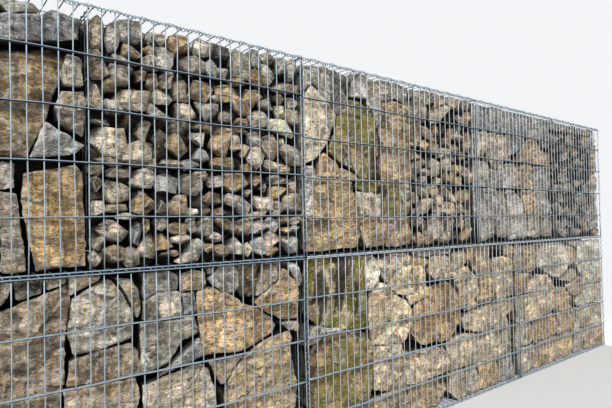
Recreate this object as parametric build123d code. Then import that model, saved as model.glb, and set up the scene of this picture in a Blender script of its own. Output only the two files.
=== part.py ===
from build123d import *
import os

# A free-standing gabion wall: two courses of stone-filled baskets of welded wire mesh.
# The front faces -Y, +X runs to the right of someone facing it, and the origin is on the
# ground under the middle of the wall.

# Baskets, in millimetres, listed from left to right
wall_depth = 500
course_height = 1000
lower_lengths = [2000, 2000, 1500]
upper_lengths = [2000, 1500, 2000]

# Length of each upper basket, from its left end, that holds large blocks instead of rubble
upper_block_lengths = [1000, 850, 1100]

# Gap between the front panels of neighbouring baskets, where the partition stands
basket_gap = 14

# Welded mesh: upright wires with line wires welded across them on the outside
wire = 5
upright_pitch = 50
line_pitch = 200

# One upright wire in this many is drawn as a solid bar
uprights_per_bar = 5

# Stones stop this far below the lid
lower_headroom = 8
upper_headroom = 45

mesh_thickness = 2 * wire
inner_depth = wall_depth - 2 * mesh_thickness


# Mesh panels
def bar_row(bar, size, span, pitch):
    """Equal bars side by side along X, the outer two flush with the ends of the span."""
    gaps = max(1, round(span / pitch))
    return [place * bar for place in GridLocations((span - size) / gaps, 1, gaps + 1, 1)]


def welded_panel(width, height):
    """A flat mesh panel centred on the origin: lines on its -Y side, uprights behind them."""
    upright = Pos(0, wire / 2, 0) * Box(wire, wire, height)
    line = Pos(0, -wire / 2, 0) * Box(wire, wire, width)
    uprights = bar_row(upright, wire, width, upright_pitch * uprights_per_bar)
    lines = [Rot(0, 90, 0) * bar for bar in bar_row(line, wire, height, line_pitch)]
    return Part() + uprights + lines


def standing_panel(start, end, side, bottom):
    """The front (side -1) or back (side 1) panel of a basket."""
    facing = Rot(0, 0, 0 if side < 0 else 180)
    place = Pos((start + end) / 2, side * (wall_depth / 2 - wire), bottom + course_height / 2)
    return place * facing * welded_panel(end - start, course_height)


def cross_panel(at, outward, depth, bottom, top):
    """An upright panel across the wall, its line wires on the outward side."""
    place = Pos(at, 0, (bottom + top) / 2)
    return place * Rot(0, 0, 90 * outward) * welded_panel(depth, top - bottom)


def level_panel(start, end, level, facing):
    """A floor (facing -1) or lid (facing 1) whose long wires lie against the given level."""
    place = Pos((start + end) / 2, 0, level - facing * wire)
    return place * Rot(-90 * facing, 0, 0) * welded_panel(end - start, inner_depth)


def stone_block(start, end, bottom, top):
    """The stones of one cell as a single block that fills it from side to side."""
    block = Box(end - start, inner_depth, top - bottom)
    return Pos((start + end) / 2, 0, (bottom + top) / 2) * block


# Courses
def basket_edges(lengths):
    """Where the baskets of a course begin and end along the wall."""
    edges = [-sum(lengths) / 2]
    for length in lengths:
        edges.append(edges[-1] + length)
    return edges


def cross_panels(name, edges, bottom):
    """The two ends of a course and the partitions between its baskets."""
    top = bottom + course_height
    pieces = {
        f"{name}_left_end": cross_panel(edges[0] + wire, -1, inner_depth, bottom, top),
        f"{name}_right_end": cross_panel(edges[-1] - wire, 1, inner_depth, bottom, top),
    }
    for number, edge in enumerate(edges[1:-1], 1):
        partition_depth = wall_depth - 2 * wire
        pieces[f"{name}_partition_{number}"] = cross_panel(edge, 1, partition_depth, bottom, top)
    return pieces


def course(name, lengths, bottom, headroom, block_lengths):
    """All pieces of one course; a basket shared by blocks and rubble has a diaphragm between."""
    edges = basket_edges(lengths)
    pieces = cross_panels(name, edges, bottom)
    top = bottom + course_height
    floor_top = bottom + mesh_thickness
    lid_bottom = top - mesh_thickness
    fill_top = lid_bottom - headroom
    baskets = zip(edges, edges[1:], block_lengths)
    for number, (left, right, block_length) in enumerate(baskets, 1):
        at_left_end = number == 1
        at_right_end = number == len(lengths)
        front_start = left if at_left_end else left + basket_gap / 2
        front_end = right if at_right_end else right - basket_gap / 2
        start = left + (mesh_thickness if at_left_end else wire)
        end = right - (mesh_thickness if at_right_end else wire)
        basket = f"{name}_{number}"
        pieces[f"{basket}_front_panel"] = standing_panel(front_start, front_end, -1, bottom)
        pieces[f"{basket}_back_panel"] = standing_panel(front_start, front_end, 1, bottom)
        pieces[f"{basket}_floor_panel"] = level_panel(start, end, bottom, -1)
        pieces[f"{basket}_lid"] = level_panel(start, end, top, 1)
        divide = left + block_length
        if divide < right:
            diaphragm = cross_panel(divide, 1, inner_depth, floor_top, lid_bottom)
            pieces[f"{basket}_diaphragm"] = diaphragm
            pieces[f"{basket}_block_fill"] = stone_block(start, divide - wire, floor_top, fill_top)
            pieces[f"{basket}_rubble_fill"] = stone_block(divide + wire, end, floor_top, fill_top)
        else:
            pieces[f"{basket}_block_fill"] = stone_block(start, end, floor_top, fill_top)
    return pieces


wall = course("lower", lower_lengths, 0, lower_headroom, lower_lengths)
wall.update(course("upper", upper_lengths, course_height, upper_headroom, upper_block_lengths))

os.makedirs("parts", exist_ok=True)
for node, piece in wall.items():
    export_step(piece, f"parts/{node}.step")
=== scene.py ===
import itertools
import math
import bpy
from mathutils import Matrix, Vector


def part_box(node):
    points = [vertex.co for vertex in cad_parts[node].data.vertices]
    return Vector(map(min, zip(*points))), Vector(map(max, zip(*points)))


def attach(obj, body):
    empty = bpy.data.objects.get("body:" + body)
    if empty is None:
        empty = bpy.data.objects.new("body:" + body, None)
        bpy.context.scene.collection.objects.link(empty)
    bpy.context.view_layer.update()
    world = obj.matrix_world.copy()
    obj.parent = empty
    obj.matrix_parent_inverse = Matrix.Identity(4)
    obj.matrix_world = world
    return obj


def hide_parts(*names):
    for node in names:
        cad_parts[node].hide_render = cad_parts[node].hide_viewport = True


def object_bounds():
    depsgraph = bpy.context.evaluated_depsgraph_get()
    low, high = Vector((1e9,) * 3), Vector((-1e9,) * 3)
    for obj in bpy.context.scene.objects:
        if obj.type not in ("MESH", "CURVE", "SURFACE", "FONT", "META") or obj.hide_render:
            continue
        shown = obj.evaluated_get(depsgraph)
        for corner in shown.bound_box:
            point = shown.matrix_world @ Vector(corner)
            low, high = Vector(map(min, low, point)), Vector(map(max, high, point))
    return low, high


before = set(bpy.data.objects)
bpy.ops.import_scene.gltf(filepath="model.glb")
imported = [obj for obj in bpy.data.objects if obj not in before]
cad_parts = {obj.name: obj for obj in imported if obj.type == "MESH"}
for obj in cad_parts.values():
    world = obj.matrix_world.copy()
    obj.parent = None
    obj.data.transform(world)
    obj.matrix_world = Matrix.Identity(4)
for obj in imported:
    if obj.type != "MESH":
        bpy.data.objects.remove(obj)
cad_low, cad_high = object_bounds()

from types import SimpleNamespace

import bmesh
import bpy
import numpy as np
from mathutils import Matrix, Vector, geometry

# A gabion wall of welded-mesh baskets in two courses. The front faces -Y. All sizes are metres.

# Baskets, read from the frame
WALL_END = cad_high.x
WALL_FACE = cad_high.y
COURSE = cad_high.z / 2
COURSE_NAMES = ("lower", "upper")
BASKETS = (1, 2, 3)
FRONT = -1
BACK = 1
SIDE_NAMES = {FRONT: "front", BACK: "back"}

# Wire thicknesses, and the pitch of the mesh
WIRE = 0.005
LINE_WIRE = 0.0058
UPRIGHT_WIRE = 0.0045
TIE_WIRE = 0.0028
SPIRAL_WIRE = 0.0028
UPRIGHT_PITCH = 0.05
LINE_PITCH = 0.2
LINE_COUNT = 6

# How far from the wall's middle the face meshes lie, and how far wires stop short of its edges
LINE_DEPTH = WALL_FACE - 0.0065
UPRIGHT_DEPTH = LINE_DEPTH - WIRE
REAR_DEPTH = UPRIGHT_DEPTH - WIRE
EDGE_INSET = 0.0025
END_INSET = 0.0045
RIM = 0.0035
LONG_INSET = RIM + 0.0005
CROSS_INSET = WIRE + RIM + 0.0015
JOINT_INSET = 0.015
OVERLAP = 0.001
BASE_EDGE = 0.0104
TOP_EDGE = 2 * COURSE - 0.0115

# How long the parts of a wire's path are, how many sides its tube has, and two directions across
UPRIGHT_STEP = 0.11
LINE_STEP = 0.03
REAR_STEP = 0.05
CROSS_STEP = 0.16
LONG_STEP = 0.25
FACE_SIDES = 8
INNER_SIDES = 6
SPIRAL_SIDES = 5
ALONG_X = (1, 0, 0)
ALONG_Z = (0, 0, 1)

# Where one upright of each basket stands, by course and basket
COMBS = {
    (0, 1): -0.756, (0, 2): -0.735, (0, 3): 1.295,
    (1, 1): -0.754, (1, 2): -0.694, (1, 3): 0.782,
}
# How far a basket's line wires stand off their even places
LINE_SHIFTS = {(0, 1): -0.006, (1, 1): 0.006, (1, 2): -0.004}

# How the face meshes give way to the stones, as waves: reach, turn along X and along Z, and start
SWAY = ((0.0011, 131, 5.1, 0), (0.0012, 47, -7.3, 1.0))
LIFT = ((0.0016, 8.3, 2.1, 0), (0.0009, 23, 0, 1.3))
PRESS = ((0.0012, 5.7, 9.1, 0), (0.0005, 29, 17, 0))
# Only wires this near to the wall's face give way. They are held near the rims of a course, over a
# share of its height, and near the wall's ends, over a reach in metres.
FACE_MESH_DEPTH = 0.03
HELD_SHARE = 0.15
HELD_END = 0.01
HELD_REACH = 0.1

# Binders: spirals along the joints, and close lacing with loose curls along the lids
SPIRAL_RADIUS = 0.0076
UPRIGHT_SPIRAL_RADIUS = 0.0075
SPIRAL_DEPTH = WALL_FACE - 0.0112
SPIRAL_END = WALL_END - 0.0105
SPIRAL_PITCH = 0.05
SPIRAL_POINTS_A_TURN = 11
LACING_RADIUS = 0.0066
LACING_PITCH = 0.016
CURL_RADIUS = 0.0095
CURL_PITCH = 0.11
HALF_JOINT = 0.007
BINDER_GAP = 0.006
UPRIGHT_BINDER_MARGIN = 0.02
END_BINDER_MARGIN = 0.03

# Cross ties: X and Z of those read from the photograph, and a pattern repeated along the wall
READ_TIES = ((-1.8504, 1.2638), (-1.8515, 1.1431), (-1.7498, 1.7132), (-1.7564, 1.0781))
TIE_PATTERN = ((0, 0.33), (0.2, 0.66), (0.1, 1.36), (0.3, 1.62))
TIE_RANGE = (-2.45, 2.7)
TIE_PITCH = 0.55
TIE_MARGIN = 0.03
# The bend of a tie round an upright, in degrees, and its leg as steps aside, back and up
HOOK_BEND = (-40, 250)
HOOK_POINTS = 12
HOOK_RISE = 0.0016
HOOK_LEG = ((0.004, 0.012, 0.004), (0.007, 0.05, 0.003), (0.008, 0.16, 0.0))

# Stones: where their faces lie, where they stop, and how deep they are
STONE_FACE = WALL_FACE - 0.019
STONE_LIMIT = WALL_END - 0.0125
TOP_LIMIT = 2 * COURSE - 0.014
BLOCK_DEPTH = 0.15
RUBBLE_DEPTH = 0.085
RUBBLE_MIDDLE = -0.18
INNER_RUBBLE_MIDDLE = -0.125
RUBBLE_LOW = COURSE + 0.008
RUBBLE_HIGH = 2 * COURSE - 0.02
CELL_MARGIN = 0.02

# How finely the faces of blocks are cut: finest within a reach of the X that is seen from
# nearest, coarser by a growth for each metre beyond, and coarsest at the back
NEAR_SPACING = 0.0075
NEAREST_X = -1.3
NEAR_REACH = 0.9
SPACING_GROWTH = 0.0022
BACK_SPACING = 0.024

# How rough stones are: broken corners, the outline's unevenness as scale and reach, flats and edges
CORNER_BREAK = 0.005
OUTLINE_NOISE = ((14, 0.0052), (45, 0.0030))
ROCK_RANGE = 40
OTHER_NOISE = 7.3
FLAT_AREA = 0.009
FLAT_LIMIT = 0.012
SLOPE_COUNT = 5
SLOPE_LIMIT = 0.024
BEVEL_LIMIT = 0.045
BEVEL_START = 0.66
RIM_DEPTH = 0.006
END_FLATTENING = 0.85
END_FLAT = (0.14, 0.03)
CRISP = math.radians(38)
# Rows of points behind a block's face: how far back, as a share of its depth, and how much narrower
SIDE_ROWS = ((0.02, 0.01), (0.06, 0.04), (1.0, 0.12))

# How deep in the wall painted shade begins to darken a stone, and where it is fully dark
BLOCK_GLOOM = (0.050, 0.085)
RUBBLE_GLOOM = (0.035, 0.069)
# Blocks left of this X and right of it: how far their outlines are grown, and how much painted shade
# darkens their sides behind the face. Near the wall's ends and top the sides get no painted shade.
FAR_START = -0.75
BLOCK_GROWTH = (0.0006, 0.0062)
SIDE_GLOOM = (0.85, 0.45)
END_LIGHT = (0.014, 0.03)
TOP_LIGHT = (0.05, 0.1)

# Stone colours by letter, as red, green and blue from 0 to 255; several letters are mixed. M also
# stands for moss, and ^ for a broad bevel along the stone's top
TONES = {
    "T": (192, 167, 134),
    "O": (194, 160, 110),
    "R": (204, 146, 90),
    "G": (160, 158, 154),
    "P": (212, 204, 188),
    "B": (130, 104, 74),
    "D": (86, 80, 72),
    "W": (188, 185, 182),
    "C": (220, 207, 180),
    "Y": (226, 194, 146),
    "S": (122, 127, 134),
    "M": (178, 156, 120),
}
# How far each letter's stone is stained by iron
OCHRE_SHARES = {"O": 1.0, "R": 1.0, "B": 1.0, "Y": 0.6, "T": 0.15}

# Large stones of the lower course, left to right: tone, then corners as X and Z in the wall's face
LOWER_BLOCKS = (
    ("O", (-2.74, .99), (-2.52, .985), (-2.47, .86), (-2.50, .77), (-2.74, .76)),
    ("G", (-2.50, .985), (-2.27, .98), (-2.25, .88), (-2.30, .80), (-2.46, .84)),
    ("TG", (-2.26, .985), (-2.06, .985), (-2.045, .88), (-2.10, .74), (-2.29, .77), (-2.24, .87)),
    ("TG", (-2.74, .745), (-2.49, .755), (-2.46, .63), (-2.50, .50), (-2.74, .52)),
    ("PG", (-2.46, .82), (-2.30, .77), (-2.13, .73), (-2.07, .66), (-2.12, .53), (-2.45, .55)),
    ("OTG", (-2.74, .505), (-2.50, .485), (-2.44, .40), (-2.47, .27), (-2.74, .28)),
    ("G", (-2.47, .535), (-2.20, .515), (-2.15, .40), (-2.20, .29), (-2.42, .28), (-2.43, .42)),
    ("TG", (-2.13, .515), (-1.88, .49), (-1.86, .33), (-1.95, .25), (-2.16, .28), (-2.12, .40)),
    ("G", (-2.74, .265), (-2.44, .255), (-2.40, .13), (-2.44, .02), (-2.74, .02)),
    ("TG", (-2.42, .265), (-2.12, .265), (-2.08, .15), (-2.12, .02), (-2.42, .02), (-2.38, .14)),
    ("OTG", (-2.10, .265), (-1.96, .235), (-1.80, .25), (-1.78, .12), (-1.82, .02), (-2.10, .02)),
    ("TG", (-2.035, .99), (-1.998, .985), (-2.02, .915), (-2.04, .90)),
    ("D", (-1.99, .985), (-1.90, .985), (-1.905, .94), (-1.985, .918)),
    ("BG", (-1.895, .985), (-1.83, .985), (-1.83, .968), (-1.895, .945)),
    ("TOG", (-2.09, .86), (-1.99, .905), (-1.825, .962), (-1.815, .90), (-1.828, .775), (-1.84, .62),
     (-1.85, .51), (-2.09, .53)),
    ("PT", (-1.82, .985), (-1.71, .985), (-1.715, .968), (-1.818, .918)),
    ("TGP", (-1.812, .908), (-1.70, .968), (-1.665, .965), (-1.63, .91), (-1.60, .85), (-1.588, .81),
     (-1.598, .73), (-1.72, .708), (-1.808, .70), (-1.82, .775)),
    ("GT", (-1.655, .975), (-1.59, .96), (-1.563, .91), (-1.563, .83), (-1.578, .812), (-1.61, .89)),
    ("PB", (-1.825, .683), (-1.735, .698), (-1.60, .71), (-1.58, .685), (-1.563, .62), (-1.57, .59),
     (-1.828, .592)),
    ("TBG", (-1.838, .583), (-1.58, .58), (-1.572, .50), (-1.60, .38), (-1.83, .36), (-1.842, .48)),
    ("G", (-1.548, .985), (-1.44, .985), (-1.40, .96), (-1.40, .905), (-1.47, .905), (-1.55, .88)),
    ("GT", (-1.552, .87), (-1.47, .90), (-1.40, .90), (-1.388, .86), (-1.385, .795), (-1.552, .795)),
    ("S", (-1.39, .885), (-1.332, .893), (-1.325, .80), (-1.378, .795)),
    ("PGP", (-1.558, .785), (-1.325, .785), (-1.302, .71), (-1.38, .692), (-1.44, .61), (-1.56, .57)),
    ("G", (-1.44, .60), (-1.31, .688), (-1.297, .615), (-1.37, .592), (-1.50, .568)),
    ("PO", (-1.39, .968), (-1.35, .978), (-1.28, .97), (-1.278, .915), (-1.30, .898), (-1.388, .896)),
    ("B", (-1.27, .985), (-1.245, .985), (-1.248, .96), (-1.268, .957)),
    ("PG", (-1.265, .94), (-1.21, .985), (-1.135, .99), (-1.12, .94), (-1.117, .886), (-1.14, .866),
     (-1.20, .88), (-1.25, .915)),
    ("BD", (-1.118, .985), (-.985, .988), (-.98, .88), (-1.03, .833), (-1.08, .833), (-1.108, .875)),
    ("GB", (-.985, .985), (-.865, .985), (-.90, .912), (-.965, .862), (-1.02, .84)),
    ("PG", (-.85, .985), (-.79, .975), (-.758, .91), (-.758, .885), (-.775, .862), (-.79, .892),
     (-.835, .945)),
    ("OOY", (-1.033, .81), (-.98, .848), (-.90, .89), (-.885, .94), (-.862, .962), (-.835, .93),
     (-.786, .883), (-.775, .80), (-.762, .70), (-.80, .695), (-.89, .712), (-.97, .762)),
    ("TG", (-.885, .70), (-.775, .685), (-.763, .652), (-.785, .64), (-.84, .655), (-.878, .688)),
    ("OYY", (-1.318, .888), (-1.27, .905), (-1.20, .883), (-1.13, .843), (-1.08, .805), (-1.0, .785),
     (-.925, .72), (-.907, .69), (-.925, .655), (-1.0, .622), (-1.09, .60), (-1.285, .604),
     (-1.297, .70), (-1.32, .80)),
    ("OYG", (-1.275, .588), (-1.10, .585), (-1.135, .55), (-1.185, .49), (-1.212, .473), (-1.258, .56)),
    ("PYP", (-1.555, .545), (-1.38, .573), (-1.30, .58), (-1.27, .55), (-1.258, .50), (-1.235, .46),
     (-1.235, .33), (-1.28, .27), (-1.56, .30)),
    ("TYY", (-1.195, .40), (-1.19, .468), (-1.13, .54), (-1.03, .60), (-.93, .635), (-.815, .648),
     (-.805, .60), (-.812, .53), (-.80, .42), (-.785, .33), (-.80, .24), (-1.17, .26)),
    ("G", (-1.83, .345), (-1.60, .365), (-1.57, .29), (-1.60, .21), (-1.78, .24), (-1.83, .28)),
    ("TG", (-1.79, .225), (-1.60, .195), (-1.50, .21), (-1.47, .12), (-1.50, .02), (-1.80, .02)),
    ("OTG", (-1.58, .285), (-1.29, .255), (-1.20, .23), (-1.18, .12), (-1.20, .02), (-1.47, .02),
     (-1.45, .13), (-1.50, .22)),
    ("G", (-1.19, .245), (-.96, .225), (-.94, .12), (-.97, .02), (-1.17, .02), (-1.16, .14)),
    ("TG", (-.95, .23), (-.79, .225), (-.765, .12), (-.77, .02), (-.95, .02), (-.92, .12)),
    ("M", (-.72, .985), (-.35, .985), (-.322, .95), (-.318, .82), (-.322, .66), (-.335, .59),
     (-.42, .602), (-.55, .628), (-.65, .658), (-.715, .705)),
    ("CP", (-.313, .978), (-.26, .973), (-.212, .94), (-.207, .89), (-.23, .85), (-.26, .802),
     (-.308, .80)),
    ("PG", (-.725, .565), (-.705, .62), (-.655, .645), (-.60, .622), (-.615, .602), (-.67, .568)),
    ("GP", (-.60, .622), (-.52, .618), (-.48, .606), (-.59, .602)),
    ("MO", (-.712, .50), (-.68, .555), (-.60, .588), (-.45, .592), (-.33, .56), (-.29, .53),
     (-.268, .45), (-.27, .35), (-.283, .20), (-.60, .19), (-.71, .24)),
    ("GT", (-.72, .228), (-.50, .18), (-.45, .10), (-.48, .02), (-.73, .02)),
    ("T", (-.47, .178), (-.27, .185), (-.20, .18), (-.19, .09), (-.22, .02), (-.46, .02)),
    ("PY", (-.20, .948), (-.10, .975), (.02, .978), (.075, .955), (.05, .92), (-.06, .885),
     (-.125, .82), (-.17, .872)),
    ("YC", (-.055, .878), (.06, .90), (.19, .885), (.222, .85), (.215, .80), (.21, .76), (.02, .735),
     (-.06, .75), (-.115, .81)),
    ("O", (.09, .955), (.20, .95), (.235, .92), (.20, .898), (.085, .905)),
    ("G", (.08, .988), (.46, .988), (.44, .965), (.24, .958), (.10, .965)),
    ("YC", (-.268, .73), (-.25, .788), (-.20, .825), (-.15, .808), (-.08, .745), (.02, .705),
     (.062, .65), (.065, .555), (.03, .488), (-.03, .457), (-.15, .476), (-.26, .488), (-.275, .60)),
    ("YP", (-.255, .472), (-.16, .46), (0, .445), (.015, .35), (.02, .27), (0, .195), (-.11, .20),
     (-.24, .235), (-.262, .36)),
    ("PY", (.262, .945), (.37, .952), (.452, .94), (.468, .88), (.47, .825), (.44, .803), (.31, .80),
     (.245, .85)),
    ("Y", (.035, .725), (.10, .755), (.20, .765), (.26, .75), (.24, .715), (.15, .70), (.06, .675)),
    ("OYR", (.275, .755), (.42, .78), (.525, .735), (.55, .65), (.565, .52), (.50, .44), (.40, .408),
     (.28, .41), (.14, .43), (.095, .50), (.09, .62), (.17, .695)),
    ("PY", (.47, .84), (.49, .955), (.60, .968), (.635, .92), (.61, .885), (.54, .875)),
    ("YC", (.485, .83), (.55, .868), (.62, .878), (.69, .825), (.755, .775), (.762, .66), (.768, .575),
     (.66, .565), (.585, .60), (.565, .70), (.53, .78)),
    ("OY", (.655, .935), (.68, .985), (.95, .985), (.972, .91), (.972, .805), (.80, .795), (.76, .81),
     (.70, .87)),
    ("OY", (.785, .782), (.975, .79), (.985, .62), (.90, .592), (.80, .603), (.772, .66)),
    ("PY", (.985, .895), (1.09, .905), (1.19, .868), (1.212, .80), (1.205, .61), (1.0, .595),
     (.992, .75)),
    ("PY", (1.12, .955), (1.15, .98), (1.21, .965), (1.225, .91), (1.18, .885)),
    ("YP", (.60, .515), (.68, .55), (.80, .568), (1.0, .575), (1.19, .585), (1.20, .52), (1.06, .468),
     (.98, .435), (.85, .402), (.72, .42), (.625, .455)),
    ("YP", (1.02, .44), (1.19, .472), (1.205, .36), (1.17, .30), (1.20, .23), (1.18, .20),
     (.965, .20), (.955, .34)),
    ("PY", (.41, .36), (.46, .40), (.62, .41), (.80, .385), (.935, .39), (.945, .30), (.93, .205),
     (.50, .20), (.46, .28)),
    ("YC", (.04, .385), (.24, .378), (.37, .362), (.44, .29), (.475, .21), (.22, .20), (.03, .205)),
    ("YG", (-.18, .185), (.015, .18), (.02, .02), (-.18, .02)),
    ("OY", (.035, .19), (.25, .188), (.41, .185), (.405, .09), (.35, .025), (.035, .02)),
    ("PGY", (.425, .175), (.58, .19), (.73, .185), (.755, .10), (.73, .02), (.49, .02), (.43, .08)),
    ("Y", (.745, .19), (.98, .188), (1.0, .12), (.97, .02), (.755, .02), (.775, .10)),
    ("G", (.995, .188), (1.20, .19), (1.215, .09), (1.20, .02), (1.0, .02), (1.02, .12)),
    ("OY", (1.275, .965), (1.54, .965), (1.578, .90), (1.60, .84), (1.585, .79), (1.45, .768),
     (1.275, .785)),
    ("CPP", (1.585, .97), (2.07, .97), (2.115, .92), (2.128, .80), (2.10, .73), (1.98, .688),
     (1.85, .70), (1.70, .762), (1.63, .80), (1.618, .87)),
    ("OR", (1.28, .765), (1.44, .755), (1.49, .72), (1.42, .62), (1.28, .605)),
    ("PY", (1.42, .602), (1.50, .688), (1.62, .725), (1.77, .715), (1.855, .66), (1.885, .605)),
    ("YC", (1.28, .585), (1.89, .588), (1.90, .43), (1.70, .405), (1.48, .39), (1.285, .405)),
    ("PY", (1.98, .662), (2.10, .68), (2.19, .732), (2.30, .708), (2.31, .665), (2.15, .635)),
    ("PPC", (2.325, .968), (2.745, .97), (2.745, .83), (2.745, .73), (2.50, .715), (2.36, .695),
     (2.315, .77)),
    ("OY", (2.135, .935), (2.20, .93), (2.295, .895), (2.30, .80), (2.15, .775), (2.138, .85)),
    ("PY", (2.13, .975), (2.31, .975), (2.29, .935), (2.19, .948)),
    ("OY", (1.915, .575), (1.95, .60), (2.08, .582), (2.145, .50), (2.13, .45), (2.14, .41),
     (1.92, .40)),
    ("RY", (2.105, .60), (2.27, .64), (2.36, .655), (2.40, .60), (2.39, .532), (2.25, .505),
     (2.17, .53)),
    ("PPY", (2.385, .672), (2.45, .70), (2.60, .71), (2.745, .715), (2.745, .62), (2.745, .42),
     (2.31, .405), (2.23, .455), (2.41, .52)),
    ("YP", (1.28, .385), (1.47, .375), (1.51, .30), (1.50, .215), (1.28, .21)),
    ("RY", (1.52, .375), (1.70, .388), (1.84, .392), (1.885, .30), (1.91, .22), (1.53, .215)),
    ("OY", (1.94, .388), (2.19, .392), (2.20, .22), (1.93, .215)),
    ("YP", (2.215, .385), (2.745, .39), (2.745, .22), (2.215, .215)),
    ("PGY", (1.275, .195), (1.49, .195), (1.50, .02), (1.275, .02)),
    ("Y", (1.515, .195), (1.84, .20), (1.86, .11), (1.83, .02), (1.515, .02)),
    ("OY", (1.865, .195), (2.19, .20), (2.19, .02), (1.86, .02), (1.885, .11)),
    ("PGY", (2.205, .20), (2.37, .20), (2.39, .02), (2.205, .02)),
    ("Y", (2.39, .20), (2.745, .20), (2.745, .10), (2.745, .02), (2.405, .02)),
)

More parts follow.
